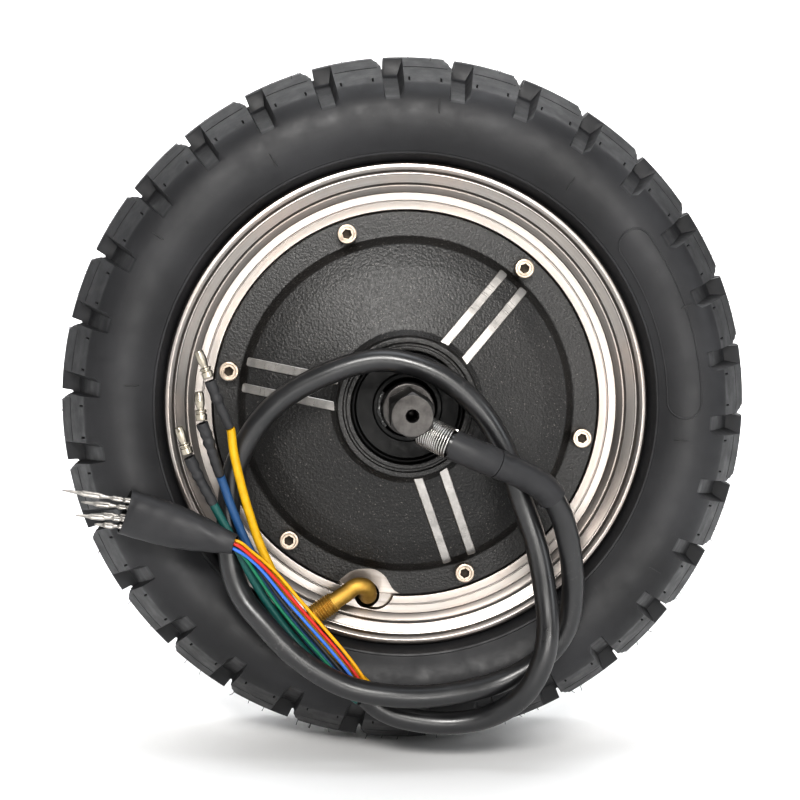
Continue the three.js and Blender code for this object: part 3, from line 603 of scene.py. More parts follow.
# near-black inner skin for the signal tube: painted shade inside its open mouth
TUBE_INSIDE_SHADE = rubber_look("tube_inside_painted_shade_looks", color=(0.0012, 0.0012, 0.0012), rough=0.6)
PHASE_WIRES = {
    "yellow": wire_look("wire_yellow_looks", (0.60, 0.36, 0.002)),
    "blue": wire_look("wire_blue_looks", (0.018, 0.078, 0.19)),
    "green": wire_look("wire_green_looks", (0.010, 0.095, 0.085)),
}
SIGNAL_WIRES = {
    "yellow": wire_look("signal_yellow_looks", (0.74, 0.38, 0.004)),
    "blue": wire_look("signal_blue_looks", (0.06, 0.19, 0.60)),
    "green": wire_look("signal_green_looks", (0.006, 0.17, 0.09)),
    "red": wire_look("signal_red_looks", (0.55, 0.03, 0.02)),
    "black": wire_look("signal_white_looks", (0.030, 0.030, 0.032)),
}

# -------------------------------------------------------------------------- tyre
PITCHES = 30
PITCH = 12.0                  # degrees from one front notch to the next
FIRST_NOTCH_DIR = 9.4         # the rear notches lie half a pitch later
# Rows of the front half from the middle plane to the bead:
# crown r, crown a, then notch r, notch a where they differ, and the row's kind:
# s = the sipe along the shoulder, k = the nicks near a lug's lower corners.
TYRE_ROWS = [
    (127.5, 0.0), (127.42, 2.2), (127.2, 4.6), (127.0, 6.0), (126.7, 6.25), (123.9, 6.5),
    (123.8, 8.2), (126.4, 8.5), (126.55, 8.8), (126.1, 11.0), (125.75, 12.6),
    (125.6, 13.1, 125.3, 13.15), (125.4, 13.5, 124.6, 13.45), (125.1, 14.0, 119.6, 13.8),
    (124.7, 14.7, 119.0, 14.3), (123.4, 17.2, 117.9, 16.9), (122.2, 19.4, 116.9, 19.3),
    (121.65, 20.4, 116.4, 20.4), (120.85, 20.1, 116.3, 20.6, "s"),
    (120.75, 20.4, 116.2, 20.9, "s"), (121.3, 21.05, 116.1, 21.2), (119.6, 24.2, 114.9, 23.9),
    (117.9, 27.4, 113.6, 27.0), (116.75, 29.6, 112.7, 29.1), (116.6, 29.85, 112.6, 29.35, "k"),
    (115.2, 32.4, 111.4, 32.0, "k"), (115.05, 32.7, 111.2, 32.4), (114.55, 33.6, 110.6, 33.6),
    (114.2, 34.05, 110.2, 34.3), (113.5, 34.75, 109.7, 35.2), (112.4, 35.75, 109.2, 36.2),
    (110.6, 37.0, 108.7, 37.3), (108.6, 38.0, 108.0, 38.1), (106.6, 38.55), (104.2, 39.0),
    (101.5, 39.2), (98.6, 38.75), (95.6, 37.6), (93.0, 36.2), (91.2, 35.0), (90.35, 34.5),
    (90.05, 34.75), (89.45, 34.5), (89.15, 33.7), (88.6, 32.3), (87.9, 30.3), (87.3, 28.4),
    (86.8, 27.5), (84.0, 26.9), (77.6, 25.9),
]
# (r, a) of the inner skin, from the bead to the middle plane
TYRE_INNER = [(77.0, 25.2), (77.0, 14.6), (80.6, 20.5), (92.0, 31.4), (99.0, 33.0),
              (106.0, 32.4), (112.0, 25.0), (115.8, 14.0), (116.4, 0.0)]
# Columns across one pitch, in degrees from the middle of the front notch
TYRE_COLS = np.array([
    -2.25, -1.35, -0.25, 0.85, 1.02, 1.3, 1.5, 2.1, 2.8, 3.05, 3.11, 3.34, 3.40, 3.75, 4.65,
    5.6, 6.4, 7.3, 7.5, 8.2, 8.66, 8.72, 8.95, 9.01, 9.4])
FRONT_NOTCH = [-2.25, -1.35, 1.3, 1.5]         # degrees: lug, notch floor, notch floor, lug
REAR_NOTCH = [3.75, 4.65, 7.3, 7.5]
NICKS = [(3.11, 3.34), (8.72, 8.95)]
NICK_DEPTH_R, NICK_DEPTH_A = 0.9, 0.6
V_CUT_REACH_A = -13.3         # the V cut runs from the front shoulder to here
V_CUT_DEPTH = 5.8
V_CUT_COLS, V_CUT_R = [1.02, 1.3, 2.8], [121.9, 121.6, 126.9]


def tyre_shape():
    crown = np.array([row[:2] for row in TYRE_ROWS], float)
    notch = np.array([row[2:4] or row[:2] for row in TYRE_ROWS], float)
    kinds = [row[4] if len(row) > 4 else "" for row in TYRE_ROWS]
    kinds = kinds[::-1] + kinds[1:]
    (crown_r, crown_a), (notch_r, notch_a) = (
        np.vstack([half[::-1], half[1:] * [1, -1]]).T for half in (crown, notch))
    column = np.tile(TYRE_COLS, PITCHES)
    starts = np.arange(PITCHES)[:, None] * PITCH + FIRST_NOTCH_DIR
    angles = np.radians((starts + TYRE_COLS[None]).reshape(-1))[:, None]

    # 1 on a lug, 0 in a notch
    front_lug, rear_lug = (np.tile(np.interp(TYRE_COLS, stops, [1, 0, 0, 1]), PITCHES)[:, None]
                           for stops in (FRONT_NOTCH, REAR_NOTCH))
    lug = np.where(crown_a[None] >= 0, front_lug, rear_lug)
    r = lug * crown_r[None] + (1 - lug) * notch_r[None]
    a = lug * crown_a[None] + (1 - lug) * notch_a[None]

    # a V cut crosses the middle of the tread beside each front notch:
    # steep on one side, sloped on the lug's end
    in_cut = (TYRE_COLS > 0.85) & (TYRE_COLS < 2.8)
    floor_r = np.where(in_cut, np.interp(TYRE_COLS, V_CUT_COLS, V_CUT_R), np.inf)
    floor_r = np.tile(floor_r, PITCHES)[:, None]
    reached = (crown_a > V_CUT_REACH_A)[None]
    r = np.where(reached & (r > floor_r), np.maximum(floor_r, r - V_CUT_DEPTH), r)

    for i, kind in enumerate(kinds):
        front = crown_a[i] > 0
        if kind == "s":       # outside a lug the sipe's rows level out between their neighbours
            in_lug = column >= 2.8 if front else (column >= 8.2) | (column <= 2.8)
            near = i - 1 if kinds[i - 1] != "s" else i + 1
            far = i + 2 * (i - near)
            for grid in (r, a):
                grid[~in_lug, i] = 0.7 * grid[~in_lug, near] + (1 - 0.7) * grid[~in_lug, far]
        if kind == "k" and front:
            nicked = np.any([(column >= lo) & (column <= hi) for lo, hi in NICKS], axis=0)
            r[nicked, i] -= NICK_DEPTH_R
            a[nicked, i] -= NICK_DEPTH_A

    inner = np.array(TYRE_INNER)
    inner_r, inner_a = np.vstack([inner * [1, -1], inner[::-1][1:]]).T
    grid = np.concatenate([around_axle(r, a, angles),
                           around_axle(inner_r[None], inner_a[None], angles)], 1)
    return grid.reshape(-1, 3), grid_faces(*grid.shape[:2])


piece(mesh_object("tyre_shell", tyre_shape(), TYRE, sharp=20), "rotor", "tyre_rubber", "tyre")

SIDEWALL = np.array([row[:2] for row in TYRE_ROWS if row[1] > 25][::-1])


def sidewall_a(r):
    return float(np.interp(r, SIDEWALL[:, 0], SIDEWALL[:, 1]))


def closed_bead(path, radius=0.34, sides=8):
    """A closed bead along the path, slightly flattened towards the wheel's plane."""
    path = np.array(path)
    tangents = np.roll(path, -1, 0) - np.roll(path, 1, 0)
    tangents /= np.linalg.norm(tangents, axis=1)[:, None]
    verts = []
    for centre, tangent in zip(path, tangents):
        across = unit(np.cross(tangent, [0, -1.0, 0]))
        outward = np.cross(across, tangent)
        for k in range(sides):
            g = 2 * math.pi * k / sides
            verts.append(centre + radius * (math.cos(g) * across + 0.85 * math.sin(g) * outward))
    return verts, grid_faces(len(path), sides)


PANEL_R = (93.0, 104.6)


def panel_path(start, end, side):
    """The outline of a curved panel with round ends, from start to end degrees."""
    low, high = PANEL_R
    mid, half = (low + high) / 2, (high - low) / 2
    end_width = math.degrees(half / mid)
    out = [(high, d) for d in np.linspace(start, end, 60)]
    for g in np.radians(np.linspace(90, -90, 14)[1:-1]):
        out.append((mid + half * math.sin(g), end + end_width * math.cos(g)))
    out += [(low, d) for d in np.linspace(end, start, 60)]
    for g in np.radians(np.linspace(-90, -270, 14)[1:-1]):
        out.append((mid + half * math.sin(g), start + end_width * math.cos(g)))
    return [polar(r, d, side * (sidewall_a(r) + 0.02)) for r, d in out]


# raised outlines of the blank panels on the sidewalls: start, end, side
PANELS = [(1.5, 36.0, 1), (181.5, 216.0, -1), (1.5, 36.0, -1)]
outlines = joined([closed_bead(panel_path(*panel)) for panel in PANELS])
piece(mesh_object("tyre_panel_outline", outlines, TYRE, sharp=60), "rotor", "tyre_rubber")

CROWN_HAIRS = ((3.0, 9.6), (5.6, 5.2), (8.4, 10.8), (5.0, 14.6))     # degrees past a notch, a
CROWN_A, CROWN_R = [0, 4.6, 8.8, 13, 17.2], [127.4, 127.1, 126.4, 125.5, 123.3]
SIDEWALL_HAIRS = (            # r of the root, direction
    (103.5, 84.5), (95.0, 54.4), (103.0, 20.4), (96.0, -6.5), (104.0, -33.0), (95.0, -58.0),
    (104.0, -96.0), (95.5, -121.0), (103.0, 204.0), (95.0, 176.0), (103.5, 146.0), (96.0, 119.0))


def crown_hairs():
    """Hairs that stand on the lugs; about three places in ten stay bare."""
    hairs = []
    for k in range(PITCHES):
        for side, _ in SIDES:
            notch = FIRST_NOTCH_DIR + PITCH * k + (0 if side > 0 else PITCH / 2)
            for past, a in CROWN_HAIRS:
                if rng.random() < 0.30:
                    continue
                d = notch + past + rng.uniform(-0.5, 0.5)
                r = float(np.interp(a, CROWN_A, CROWN_R))
                length = rng.uniform(0.9, 2.4)
                bend = rng.uniform(-0.9, 0.9)
                points = [polar(r - 0.3, d, side * a),
                          polar(r + length * 0.5, d + 0.15 * bend, side * (a + 0.2)),
                          polar(r + length, d + 0.55 * bend, side * (a + 0.3))]
                hairs.append(tube(resample(smooth_path(points, 4), 0.6), 0.11, 5))
    return hairs


def sidewall_hairs():
    """Tapered hairs that lie against the sidewalls, pointing outward."""
    hairs = []
    for side, _ in SIDES:
        for root, d in SIDEWALL_HAIRS:
            points = [polar(root + out, d + turn, side * (sidewall_a(root + out) + lift))
                      for out, turn, lift in ((0, 0, -0.2), (0.9, 0.1, 0.25), (4.8, 0.2, 0.28))]
            path = resample(smooth_path(points, 8), 0.5)
            hairs.append(tube(path, np.linspace(0.30, 0.18, len(path)), 6))
    return hairs


piece(mesh_object("tyre_vent_hairs", joined(crown_hairs() + sidewall_hairs()), HAIR, sharp=60),
      "rotor", "tyre_rubber")

# --------------------------------------------------------------------------- rim
# r, a, rounding of the front half, from the well to the bore under the cover
RIM_BORE_R = 61.4
RIM_HALF = [
    [68.0, 8.8, 0], [76.0, 14.2, 1], [76.2, 26.2, 0.5], [78.4, 27.3, 0.4], [84.6, 27.7, 0.8],
    [86.8, 28.8, 1.1], [86.85, 30.3, 0.9], [86.2, 31.2, 0.7], [85.0, 31.4, 0.6],
    [83.9, 30.7, 0.6], [83.35, 29.9, 0.25], [83.15, 29.55, 0.12], [82.9, 29.45, 0.1],
    [82.65, 29.5, 0.12], [79.6, 28.1, 0.3], [79.3, 27.7, 0.25], [76.9, 25.65, 0.4],
    [76.55, 25.45, 0.3], [73.6, 25.1, 0.2], [73.35, 24.85, 0.1], [73.1, 24.85, 0.08],
    [72.9, 25.0, 0.15], [70.25, 24.85, 0.35], [69.95, 24.45, 0.15], [69.9, 21.5, 0.1],
    [RIM_BORE_R, 21.5, 0]]
# a round pocket in the rim's front face: radius, height, rounding
POCKET = [[0, 0, 0], [7.0, 0, 1.1], [7.35, 6.0, 0], [7.6, 12, 0], [0, 12, 0]]
POCKET_X, POCKET_Z = -10.6, -68.0
VALVE_HOLE_R = 4.5


def rim():
    front_half = fillet(RIM_HALF)
    rear_half = [[r, -a] for r, a in front_half]
    obj = lathe("rim_turned", front_half[::-1] + rear_half + [[RIM_BORE_R, 0.0]], 288, RIM)
    pocket = tool(lathe_along(fillet(POCKET, 5), 72,
                              [POCKET_X, -23.3, POCKET_Z], [POCKET_X, -40, POCKET_Z]))
    valve_hole = rod(polar(71.3, VALVE_DIR, 8), polar(71.3, VALVE_DIR, 34), VALVE_HOLE_R)
    cut(obj, [valve_hole, pocket], sharp=28)
    return obj


piece(rim(), "rotor", "rim_aluminium", "rim")

# ------------------------------------------------------------------------ covers
# r, a, rounding; both covers share the rim end and the inside
COVER_OUTER = [[69.6, 21.7, 0], [69.6, 24.7, 0.45], [60.8, 24.7, 1.3], [57.9, 28.4, 1.6],
               [49.5, 31.0, 4], [40.0, 33.2, 3]]
COVER_INSIDE = [[20.1, 34.3, 0.3], [16.8, 34.3, 0.2], [16.8, 32.3, 0.2], [21.3, 32.3, 0.3],
                [21.3, 19.6, 0.3], [24.4, 19.6, 0.3], [24.8, 30.0, 0.5], [54.5, 25.9, 1.5],
                [58.0, 20.4, 0.5], [61.0, 20.4, 0.3], [61.0, 21.7, 0]]
FRONT_COLLAR = [[27.2, 36.1, 1.2], [25.2, 37.9, 1.0], [24.8, 42.0, 0.5], [23.0, 42.0, 0.25],
                [22.6, 41.4, 0.15], [21.9, 41.4, 0.15], [21.6, 42.0, 0.25], [20.1, 42.0, 0.4]]
# the rear cover carries the raised brake disc pad
REAR_PAD = [[34.6, 34.5, 0.3], [34.0, 35.0, 0.3], [34.0, 37.6, 0.35], [25.2, 37.6, 0.2],
            [25.0, 38.2, 0.2], [24.8, 42.0, 0.5], [20.1, 42.0, 0.4]]
PAD_HOLE_CIRCLE_R, PAD_HOLE_R = 29.5, 2.1
SCREW_HOLE_R = 2.5
# (x, z) of the notch in the front cover's edge; all but the end points are smoothed
NOTCH = [(-28.0, -76.0), (-25.5, -66.6), (-22.5, -63.6), (-19.5, -61.3), (-15.0, -60.2),
         (-11.0, -60.4), (-8.6, -61.5), (-6.6, -63.3), (-5.2, -65.6), (-3.6, -68.0),
         (-0.8, -69.7), (-0.8, -76.0)]
NOTCH_A = (21.62, 44.0)


def notch_tool():
    curve = smooth_path([(x, 0.0, z) for x, z in NOTCH[1:-1]], 6)[1:-1][:, [0, 2]]
    outline = NOTCH[:2] + [tuple(point) for point in curve] + NOTCH[-2:]
    n = len(outline)
    verts = [(x, -a, z) for a in NOTCH_A for x, z in outline]
    faces = [list(range(n)), list(range(n, 2 * n))[::-1]]
    faces += [[i, i + n, (i + 1) % n + n, (i + 1) % n] for i in range(n)]
    return tool((verts, faces))


def pad_hole_tools():
    return [rod(polar(PAD_HOLE_CIRCLE_R, 20 + 60 * k, -31.2),
                polar(PAD_HOLE_CIRCLE_R, 20 + 60 * k, -42), PAD_HOLE_R, 32) for k in range(6)]


def cover(side, label, middle, tools):
    tools += [rod(polar(SCREW_CIRCLE_R, d, side * 20), polar(SCREW_CIRCLE_R, d, side * 30),
                  SCREW_HOLE_R, 24) for d in SCREW_DIRS]
    profile = fillet(COVER_OUTER + middle + COVER_INSIDE)
    obj = lathe(f"{label}_cover_shell", profile, 224, POWDER, side=side)
    cut(obj, tools, sharp=30)
    piece(obj, "rotor", "black_paint", f"{label}_cover")


cover(1, "front", FRONT_COLLAR, [notch_tool()])
cover(-1, "rear", REAR_PAD, pad_hole_tools())

# Pairs of straight ribs on the front cover. Heights a of their top and of the cover, by r:
RIB_TOP = ([24.4, 40.2, 57.8, 59.9], [37.55, 34.15, 29.55, 28.0])
RIB_BASE = ([24.4, 26.8, 40.0, 57.4, 60.4], [36.2, 35.3, 32.2, 27.4, 24.2])
RIB_START, RIB_STRAIGHT_END = 24.0, 58.4
RIB_HALF_WIDTH = 1.65
RIB_OFFSET = 4.7              # from the pair's centre line to a rib's
RIB_ROUND, RIB_TIP_HALF_WIDTH = 0.7, 0.95      # the rounded outer end
RIB_CHAMFER = 0.22


def rib_section(u, offset):
    """(across, a) points of a rib's section at distance u along it."""
    half = RIB_HALF_WIDTH
    if u > RIB_STRAIGHT_END:
        half = RIB_TIP_HALF_WIDTH + math.sqrt(max(0, RIB_ROUND ** 2 - (u - RIB_STRAIGHT_END) ** 2))
    r = math.hypot(u, offset)
    top, base = np.interp(r, *RIB_TOP), np.interp(r, *RIB_BASE) - 0.4
    chamfer = min(RIB_CHAMFER, half * 0.5)
    return [(-half, base), (-half, top - RIB_CHAMFER), (-(half - chamfer), top),
            (half - chamfer, top), (half, top - RIB_CHAMFER), (half, base)]


def ribs():
    stations = list(np.linspace(RIB_START, RIB_STRAIGHT_END, 24))
    stations += [RIB_STRAIGHT_END + RIB_ROUND * math.sin(g)
                 for g in np.linspace(0.15, math.pi / 2 - 0.02, 9)]
    n, rows = 6, len(stations)
    faces = grid_faces(rows, n, wrap_rows=False)
    faces += [list(range(n)), [(rows - 1) * n + k for k in range(n)][::-1]]
    machined = [0, 1, 1, 1, 0, 0] * (rows - 1) + [0, 0]      # the top and its chamfers
    shapes = []
    for direction in RIB_DIRS:
        angle = math.radians(direction)
        along = np.array([math.cos(angle), 0, math.sin(angle)])
        across = np.array([-along[2], 0, along[0]])
        for offset in (-RIB_OFFSET, RIB_OFFSET):
            verts = [along * u + across * (offset + v) + np.array([0, -a, 0])
                     for u in stations for v, a in rib_section(u, offset)]
            shapes.append((verts, faces))
    return mesh_object("front_cover_ribs", joined(shapes), POWDER, sharp=30,
                       second=RIB, use_second=machined * len(shapes))


piece(ribs(), "rotor", "hub_aluminium", "front_cover")

# ------------------------------------------------------------------------ screws
# r, a, rounding of one screw about its own axis, head at the high end
SCREW = [[0, 12.0, 0], [1.5, 12.0, 0.1], [1.9, 12.4, 0.1], [1.9, 24.9, 0.1], [3.5, 24.9, 0.15],
         [3.5, 28.9, 0.5], [2.6, 28.9, 0.15], [2.4, 28.75, 0.1], [0, 28.75, 0]]
SOCKET_CUT = [[0, 0], [1.02, 0.35], [1.02, 4.2], [0, 4.2]]     # radius, height
SOCKET_WIDEN = 1.78


def screw_master():
    """Vertices, faces and socket flags of a front screw at the wheel's centre."""
    master = lathe("screw_master", fillet(SCREW), 48, NICKEL, closed=False)
    verts, faces = lathe_along(SOCKET_CUT, 6, [0, -26.6, 0], [0, -31, 0])
    cut(master, [tool((verts * [SOCKET_WIDEN, 1, SOCKET_WIDEN], faces))], sharp=35)
    verts = np.array([v.co[:] for v in master.data.vertices]) / MM
    faces = [list(p.vertices) for p in master.data.polygons]
    # faces inside the socket take the painted shade
    in_socket = []
    for polygon in master.data.polygons:
        x, y, z = polygon.center
        in_socket.append(int(-28.7 < y / MM < -26.0 and math.hypot(x, z) / MM < 2.1))
    bpy.data.objects.remove(master)
    return verts, faces, in_socket


def cover_screws():
    verts, faces, in_socket = screw_master()
    for side, label in SIDES:
        for k, d in enumerate(SCREW_DIRS):
            turn = math.radians(float(rng.uniform(0, 60)))
            centre = polar(SCREW_CIRCLE_R, d, 0)
            x = verts[:, 0] * math.cos(turn) - verts[:, 2] * math.sin(turn)
            z = verts[:, 0] * math.sin(turn) + verts[:, 2] * math.cos(turn)
            placed = np.c_[centre[0] + x, verts[:, 1] * side, centre[2] + z]
            name = f"{label}_cover_screw_{k + 1}"
            obj = mesh_object(name + "_head", (placed, faces), NICKEL, sharp=35,
                              second=SOCKET_SHADE, use_second=in_socket)
            piece(obj, "rotor", "screw_nickel", name)


cover_screws()

# ------------------------------------------------------------------------- seals
# r, a, rounding
SEAL_PROFILE = [[10.0, 34.9, 0], [19.7, 34.9, 0.2], [19.7, 39.7, 0.2], [18.9, 39.9, 0.3],
                [18.5, 39.2, 0.2], [18.2, 38.2, 0.3], [12.4, 38.0, 0.3], [11.9, 38.7, 0.3],
                [10.5, 38.8, 0.4], [10.1, 38.0, 0.3], [9.4, 36.4, 0]]
for side, label in SIDES:
    seal = lathe(f"{label}_seal_lips", fillet(SEAL_PROFILE), 128, SEAL, sharp=30, side=side)
    piece(seal, "rotor", "rubber", f"{label}_seal")


def sealant_bead():
    """A lumpy arc of sealant against the axle, in front of the front seal."""
    rows, sides = 46, 14
    arc = np.array([polar(10.05, d, 39.7) for d in np.linspace(148, 222, rows)])
    radii = 0.62 + 0.30 * np.sin(np.linspace(0, 9.0, rows)) ** 2
    lumps = np.random.default_rng(11).uniform(-0.16, 0.16, (rows, sides))
    shape = tube(arc, radii, sides, bump=lambda i, angles: lumps)
    return mesh_object("sealant_bead", shape, SEALANT, sharp=70)


piece(sealant_bead(), "stator", "rubber")

# ------------------------------------------------------------------------- cable
CABLE_R = 4.0
# x, y, z from inside the axle, out of its front end and round to the leads
CABLE_POINTS = [
    [0, -14, 0], [0, -30, 0], [0.1, -42, -0.2], [0.9, -52, -1.4], [2.6, -58, -3.6],
    [5.2, -61.4, -6.2], [9.1, -64.0, -8.2], [13.2, -66.0, -10.1], [20.8, -67.0, -13.3],
    [29.0, -65.0, -16.8], [39.5, -61.0, -21.6], [46.9, -57.5, -26.4], [52.7, -54.0, -34.8],
    [56.6, -50.5, -46.9], [58.7, -47.5, -63.4], [56.8, -45.5, -77.3], [49.6, -44.8, -87.6],
    [35.5, -45.2, -96.1], [15.7, -49.5, -100.1], [-3.7, -52.4, -100.2], [-21.2, -52.4, -96.7],
    [-36.9, -51.5, -87.8], [-50.3, -49.0, -75.0], [-57.2, -46.5, -67.0], [-61.2, -44.8, -57.4],
    [-62.7, -44.3, -41.6], [-59.9, -45.5, -20.3], [-48.0, -49.0, -0.7], [-29.1, -52.0, 11.8],
    [-8.5, -53.5, 17.2], [9.7, -55.0, 12.3], [22.8, -55.5, 2.2], [32.2, -53.5, -11.8],
    [38.5, -49.5, -28.5], [44.7, -49.5, -45.4], [48.2, -52.0, -62.6], [49.1, -55.0, -75.3],
    [47.5, -56.0, -86.4], [42.0, -54.0, -98.2], [30.2, -47.0, -108.6], [14.5, -44.2, -112.0],
    [-1.5, -43.9, -109.9], [-9.0, -43.9, -106.5], [-13.7, -43.9, -102.4]]
ROUTE = smooth_path(CABLE_POINTS, 14)
ROUTE_DISTANCES = distances(ROUTE)


def distance_at(point):
    """Distance along the cable to its place nearest the point."""
    nearest = np.argmin(np.linalg.norm(ROUTE - np.array(point), axis=1))
    return float(ROUTE_DISTANCES[nearest])


SPRING_START = distance_at([5.4, -61.6, -6.3])
SPRING_END = distance_at([13.6, -66.1, -10.3])
INNER_SLEEVE_END = distance_at([29.0, -65.0, -16.8])
OUTER_SLEEVE_END = distance_at([49.6, -56.0, -30.0])


def cable_unevenness(i, angles):
    return 0.035 * np.sin(i * 0.31 + 2 * angles) + 0.03 * np.sin(i * 0.083 + 1.0)


jacket = tube(resample(ROUTE, 1.3), CABLE_R, 30, bump=cable_unevenness)
piece(mesh_object("cable_jacket_body", jacket, CABLE, sharp=50),
      "stator", "cable_pvc", "cable_jacket")

# -------------------------------------------------------------------------- axle
# r, a, rounding of the front half of the round body
AXLE_HALF = [[12.0, 0, 0], [12.0, 19.5, 0.3], [10.0, 19.5, 0.2], [10.0, 32.0, 0.2],
             [9.2, 32.3, 0.2], [9.2, 50.0, 0.7], [0, 50.0, 0]]
NOSE_A = (48.0, 80.0)         # the hexagonal ends
NOSE_EDGE_R = 7.0 / math.cos(math.pi / 6) - 0.18
NOSE_FLAT = 1.6               # degrees either side of an edge, for the small flats on it
NOSE_ENVELOPE = [[0, 40, 0], [8.6, 40, 0], [8.6, 78.3, 0.2], [6.8, 80.0, 0.25], [0, 80.0, 0]]
# a drilling in each end of the axle: radius, height
END_DRILLING = [[0, 0], [1.4, 1.0], [1.9, 2.4], [1.9, 15.0], [2.35, 15.6], [2.35, 18], [0, 18]]
CABLE_BORE_R, BORE_MOUTH_R = 4.85, 6.15


def nose(side):
    """A hexagonal end, trimmed to a round envelope with a bevelled tip."""
    n = 12
    verts = []
    for a in NOSE_A:
        for k in range(6):
            for flat in (-NOSE_FLAT, NOSE_FLAT):
                angle = math.radians(30 + 60 * k) + math.radians(flat)
                verts.append([NOSE_EDGE_R * math.cos(angle), -side * a,
                              NOSE_EDGE_R * math.sin(angle)])
    faces = grid_faces(2, n, wrap_rows=False)
    faces += [list(range(n))[::-1], [n + j for j in range(n)]]
    obj = tool((verts, faces), merge=0)
    envelope = lathe("tool", fillet(NOSE_ENVELOPE, 3), 96, AXLE, closed=False, side=side)
    apply_boolean(obj, "INTERSECT", [envelope])
    return obj


def axle():
    half = fillet(AXLE_HALF)
    profile = half[::-1] + [[r, -a] for r, a in half[1:]]
    obj = lathe("axle_body", profile, 96, AXLE, closed=False)
    apply_boolean(obj, "UNION", [nose(side) for side, _ in SIDES])
    bore_path = np.vstack([[0, -4, 0], resample(ROUTE, 2.0, end=SPRING_START - 1.0)])
    mouth_path = resample(ROUTE, 1.0, SPRING_START - 6.5, SPRING_END + 4)
    cut(obj, [tool(tube(resample(bore_path, 2.0), CABLE_BORE_R, 28), merge=0),
              tool(tube(mouth_path, BORE_MOUTH_R, 36), merge=0),
              rod([0, -10, 0], [0, -10, 14], 3.6, 32)]
        + [tool(lathe_along(END_DRILLING, 40, [0, -64.5 * side, 0], [0, -84 * side, 0]))
           for side, _ in SIDES], sharp=28)
    return obj


piece(axle(), "stator", "black_oxide", "axle")

# --------------------------------------------------------------- spring, sleeves
COIL_TURNS, COIL_STEPS = 14, 28
COIL_R, COIL_WIRE_R = 5.05, 0.36
SLEEVE_BORE_R = 4.3
SLEEVE_STEP = 0.7


def spring_coil():
    core = resample(ROUTE, 0.25, SPRING_START, SPRING_END)
    along = np.linspace(0, 1, COIL_TURNS * COIL_STEPS + 1)
    centre, normal, binormal = (
        interp_points(along * (len(core) - 1), np.arange(len(core)), points)
        for points in (core, *path_frames(core)))
    g = 2 * math.pi * COIL_TURNS * along
    helix = centre + COIL_R * (np.cos(g)[:, None] * normal + np.sin(g)[:, None] * binormal)
    return mesh_object("strain_relief_coil", tube(helix, COIL_WIRE_R, 10), SPRING, sharp=60)


def cable_sleeve(label, start, end, outer_r, swells, bump):
    """swells are the arguments of end_swells after count."""
    path = resample(ROUTE, SLEEVE_STEP, start, end)
    radii = end_swells(outer_r, len(path), **swells)
    shape = sleeve(path, radii, SLEEVE_BORE_R, 36, bump)
    piece(mesh_object(f"cable_sleeve_{label}_skin", shape, SHRINK, sharp=50),
          "stator", "heat_shrink", f"cable_sleeve_{label}")


piece(spring_coil(), "stator", "spring_steel", "strain_relief_spring")
cable_sleeve("inner", SPRING_END + 0.8, INNER_SLEEVE_END, 5.25,
             dict(first=0.10, first_fade=2.0, last=-0.12, last_fade=2.5), wrinkles(3, 0.05))
cable_sleeve("outer", INNER_SLEEVE_END + 0.25, OUTER_SLEEVE_END, 4.98,
             dict(first=0.14, first_fade=2.5, last=0.12, last_fade=3.0), wrinkles(4, 0.07))

# ------------------------------------------------------------------------- valve
VALVE_TIP = np.array([-33.6, -36.2, -75.9])
VALVE_AXIS = np.array([-0.81992, 0, -0.57249])
STEM_R = 3.05
THREAD_LENGTH, THREAD_PITCH, THREAD_STEPS = 10.6, 1.0, 12
THREAD_ROOT_R, THREAD_DEPTH = 3.38, 0.46
# from inside the tyre, through the rim and round the elbow
STEM_POINTS = [
    polar(83.0, VALVE_DIR, 1.0), polar(77.5, VALVE_DIR, 1.4), polar(73.2, VALVE_DIR, 4.6),
    polar(71.4, VALVE_DIR, 11), polar(71.3, VALVE_DIR, 20), polar(71.0, VALVE_DIR, 26.5),
    polar(69.4, VALVE_DIR, 31.5), [-14.2, -35.2, -65.0], [-17.4, -36.2, -64.6],
    VALVE_TIP - VALVE_AXIS * 15, VALVE_TIP - VALVE_AXIS * 10]


def thread_radius(height, angle):
    fade = min(1, (height - 0.2) / 0.9, (THREAD_LENGTH - 0.6 - height) / 0.6)
    phase = (height / THREAD_PITCH - angle / (2 * math.pi)) % 1.0
    ridge = 1 - abs(2 * phase - 1)
    return THREAD_ROOT_R + THREAD_DEPTH * fade * min(1, max(0, 1.35 * ridge - 0.15))


def thread_barrel():
    """The threaded end: a true helix on the outside, a plain bore with a seat inside."""
    sides, length = 48, THREAD_LENGTH
    base = VALVE_TIP - VALVE_AXIS * length
    x = unit(np.cross(VALVE_AXIS, [0, 1.0, 0]))
    z = np.cross(x, VALVE_AXIS)
    heights = [i / THREAD_STEPS * THREAD_PITCH
               for i in range(1, int(length / THREAD_PITCH * THREAD_STEPS))]
    # height, radius; None takes the thread's radius
    rows = [(-0.001, 3.2)] + [(h, None) for h in heights if 0.4 < h < length - 0.9]
    rows += [(length - 0.5, 3.6), (length - 0.12, 3.3), (length, 2.85), (length, 2.0),
             (length - 0.25, 1.62), (length - 7.8, 1.6)]
    verts = []
    for height, fixed_r in rows:
        for t in np.linspace(0, 2 * math.pi, sides, endpoint=False):
            r = thread_radius(height, t) if fixed_r is None else fixed_r
            verts.append(base + VALVE_AXIS * height + r * (math.cos(t) * x + math.sin(t) * z))
    return ring_solid(verts, sides, [base + VALVE_AXIS * rows[k][0] for k in (0, -1)])


stem = tube(resample(smooth_path(STEM_POINTS, 14), 0.5), STEM_R, 32)
piece(mesh_object("valve_stem_elbow", joined([stem, thread_barrel()]), BRASS, sharp=38),
      "rotor", "brass", "valve_stem")

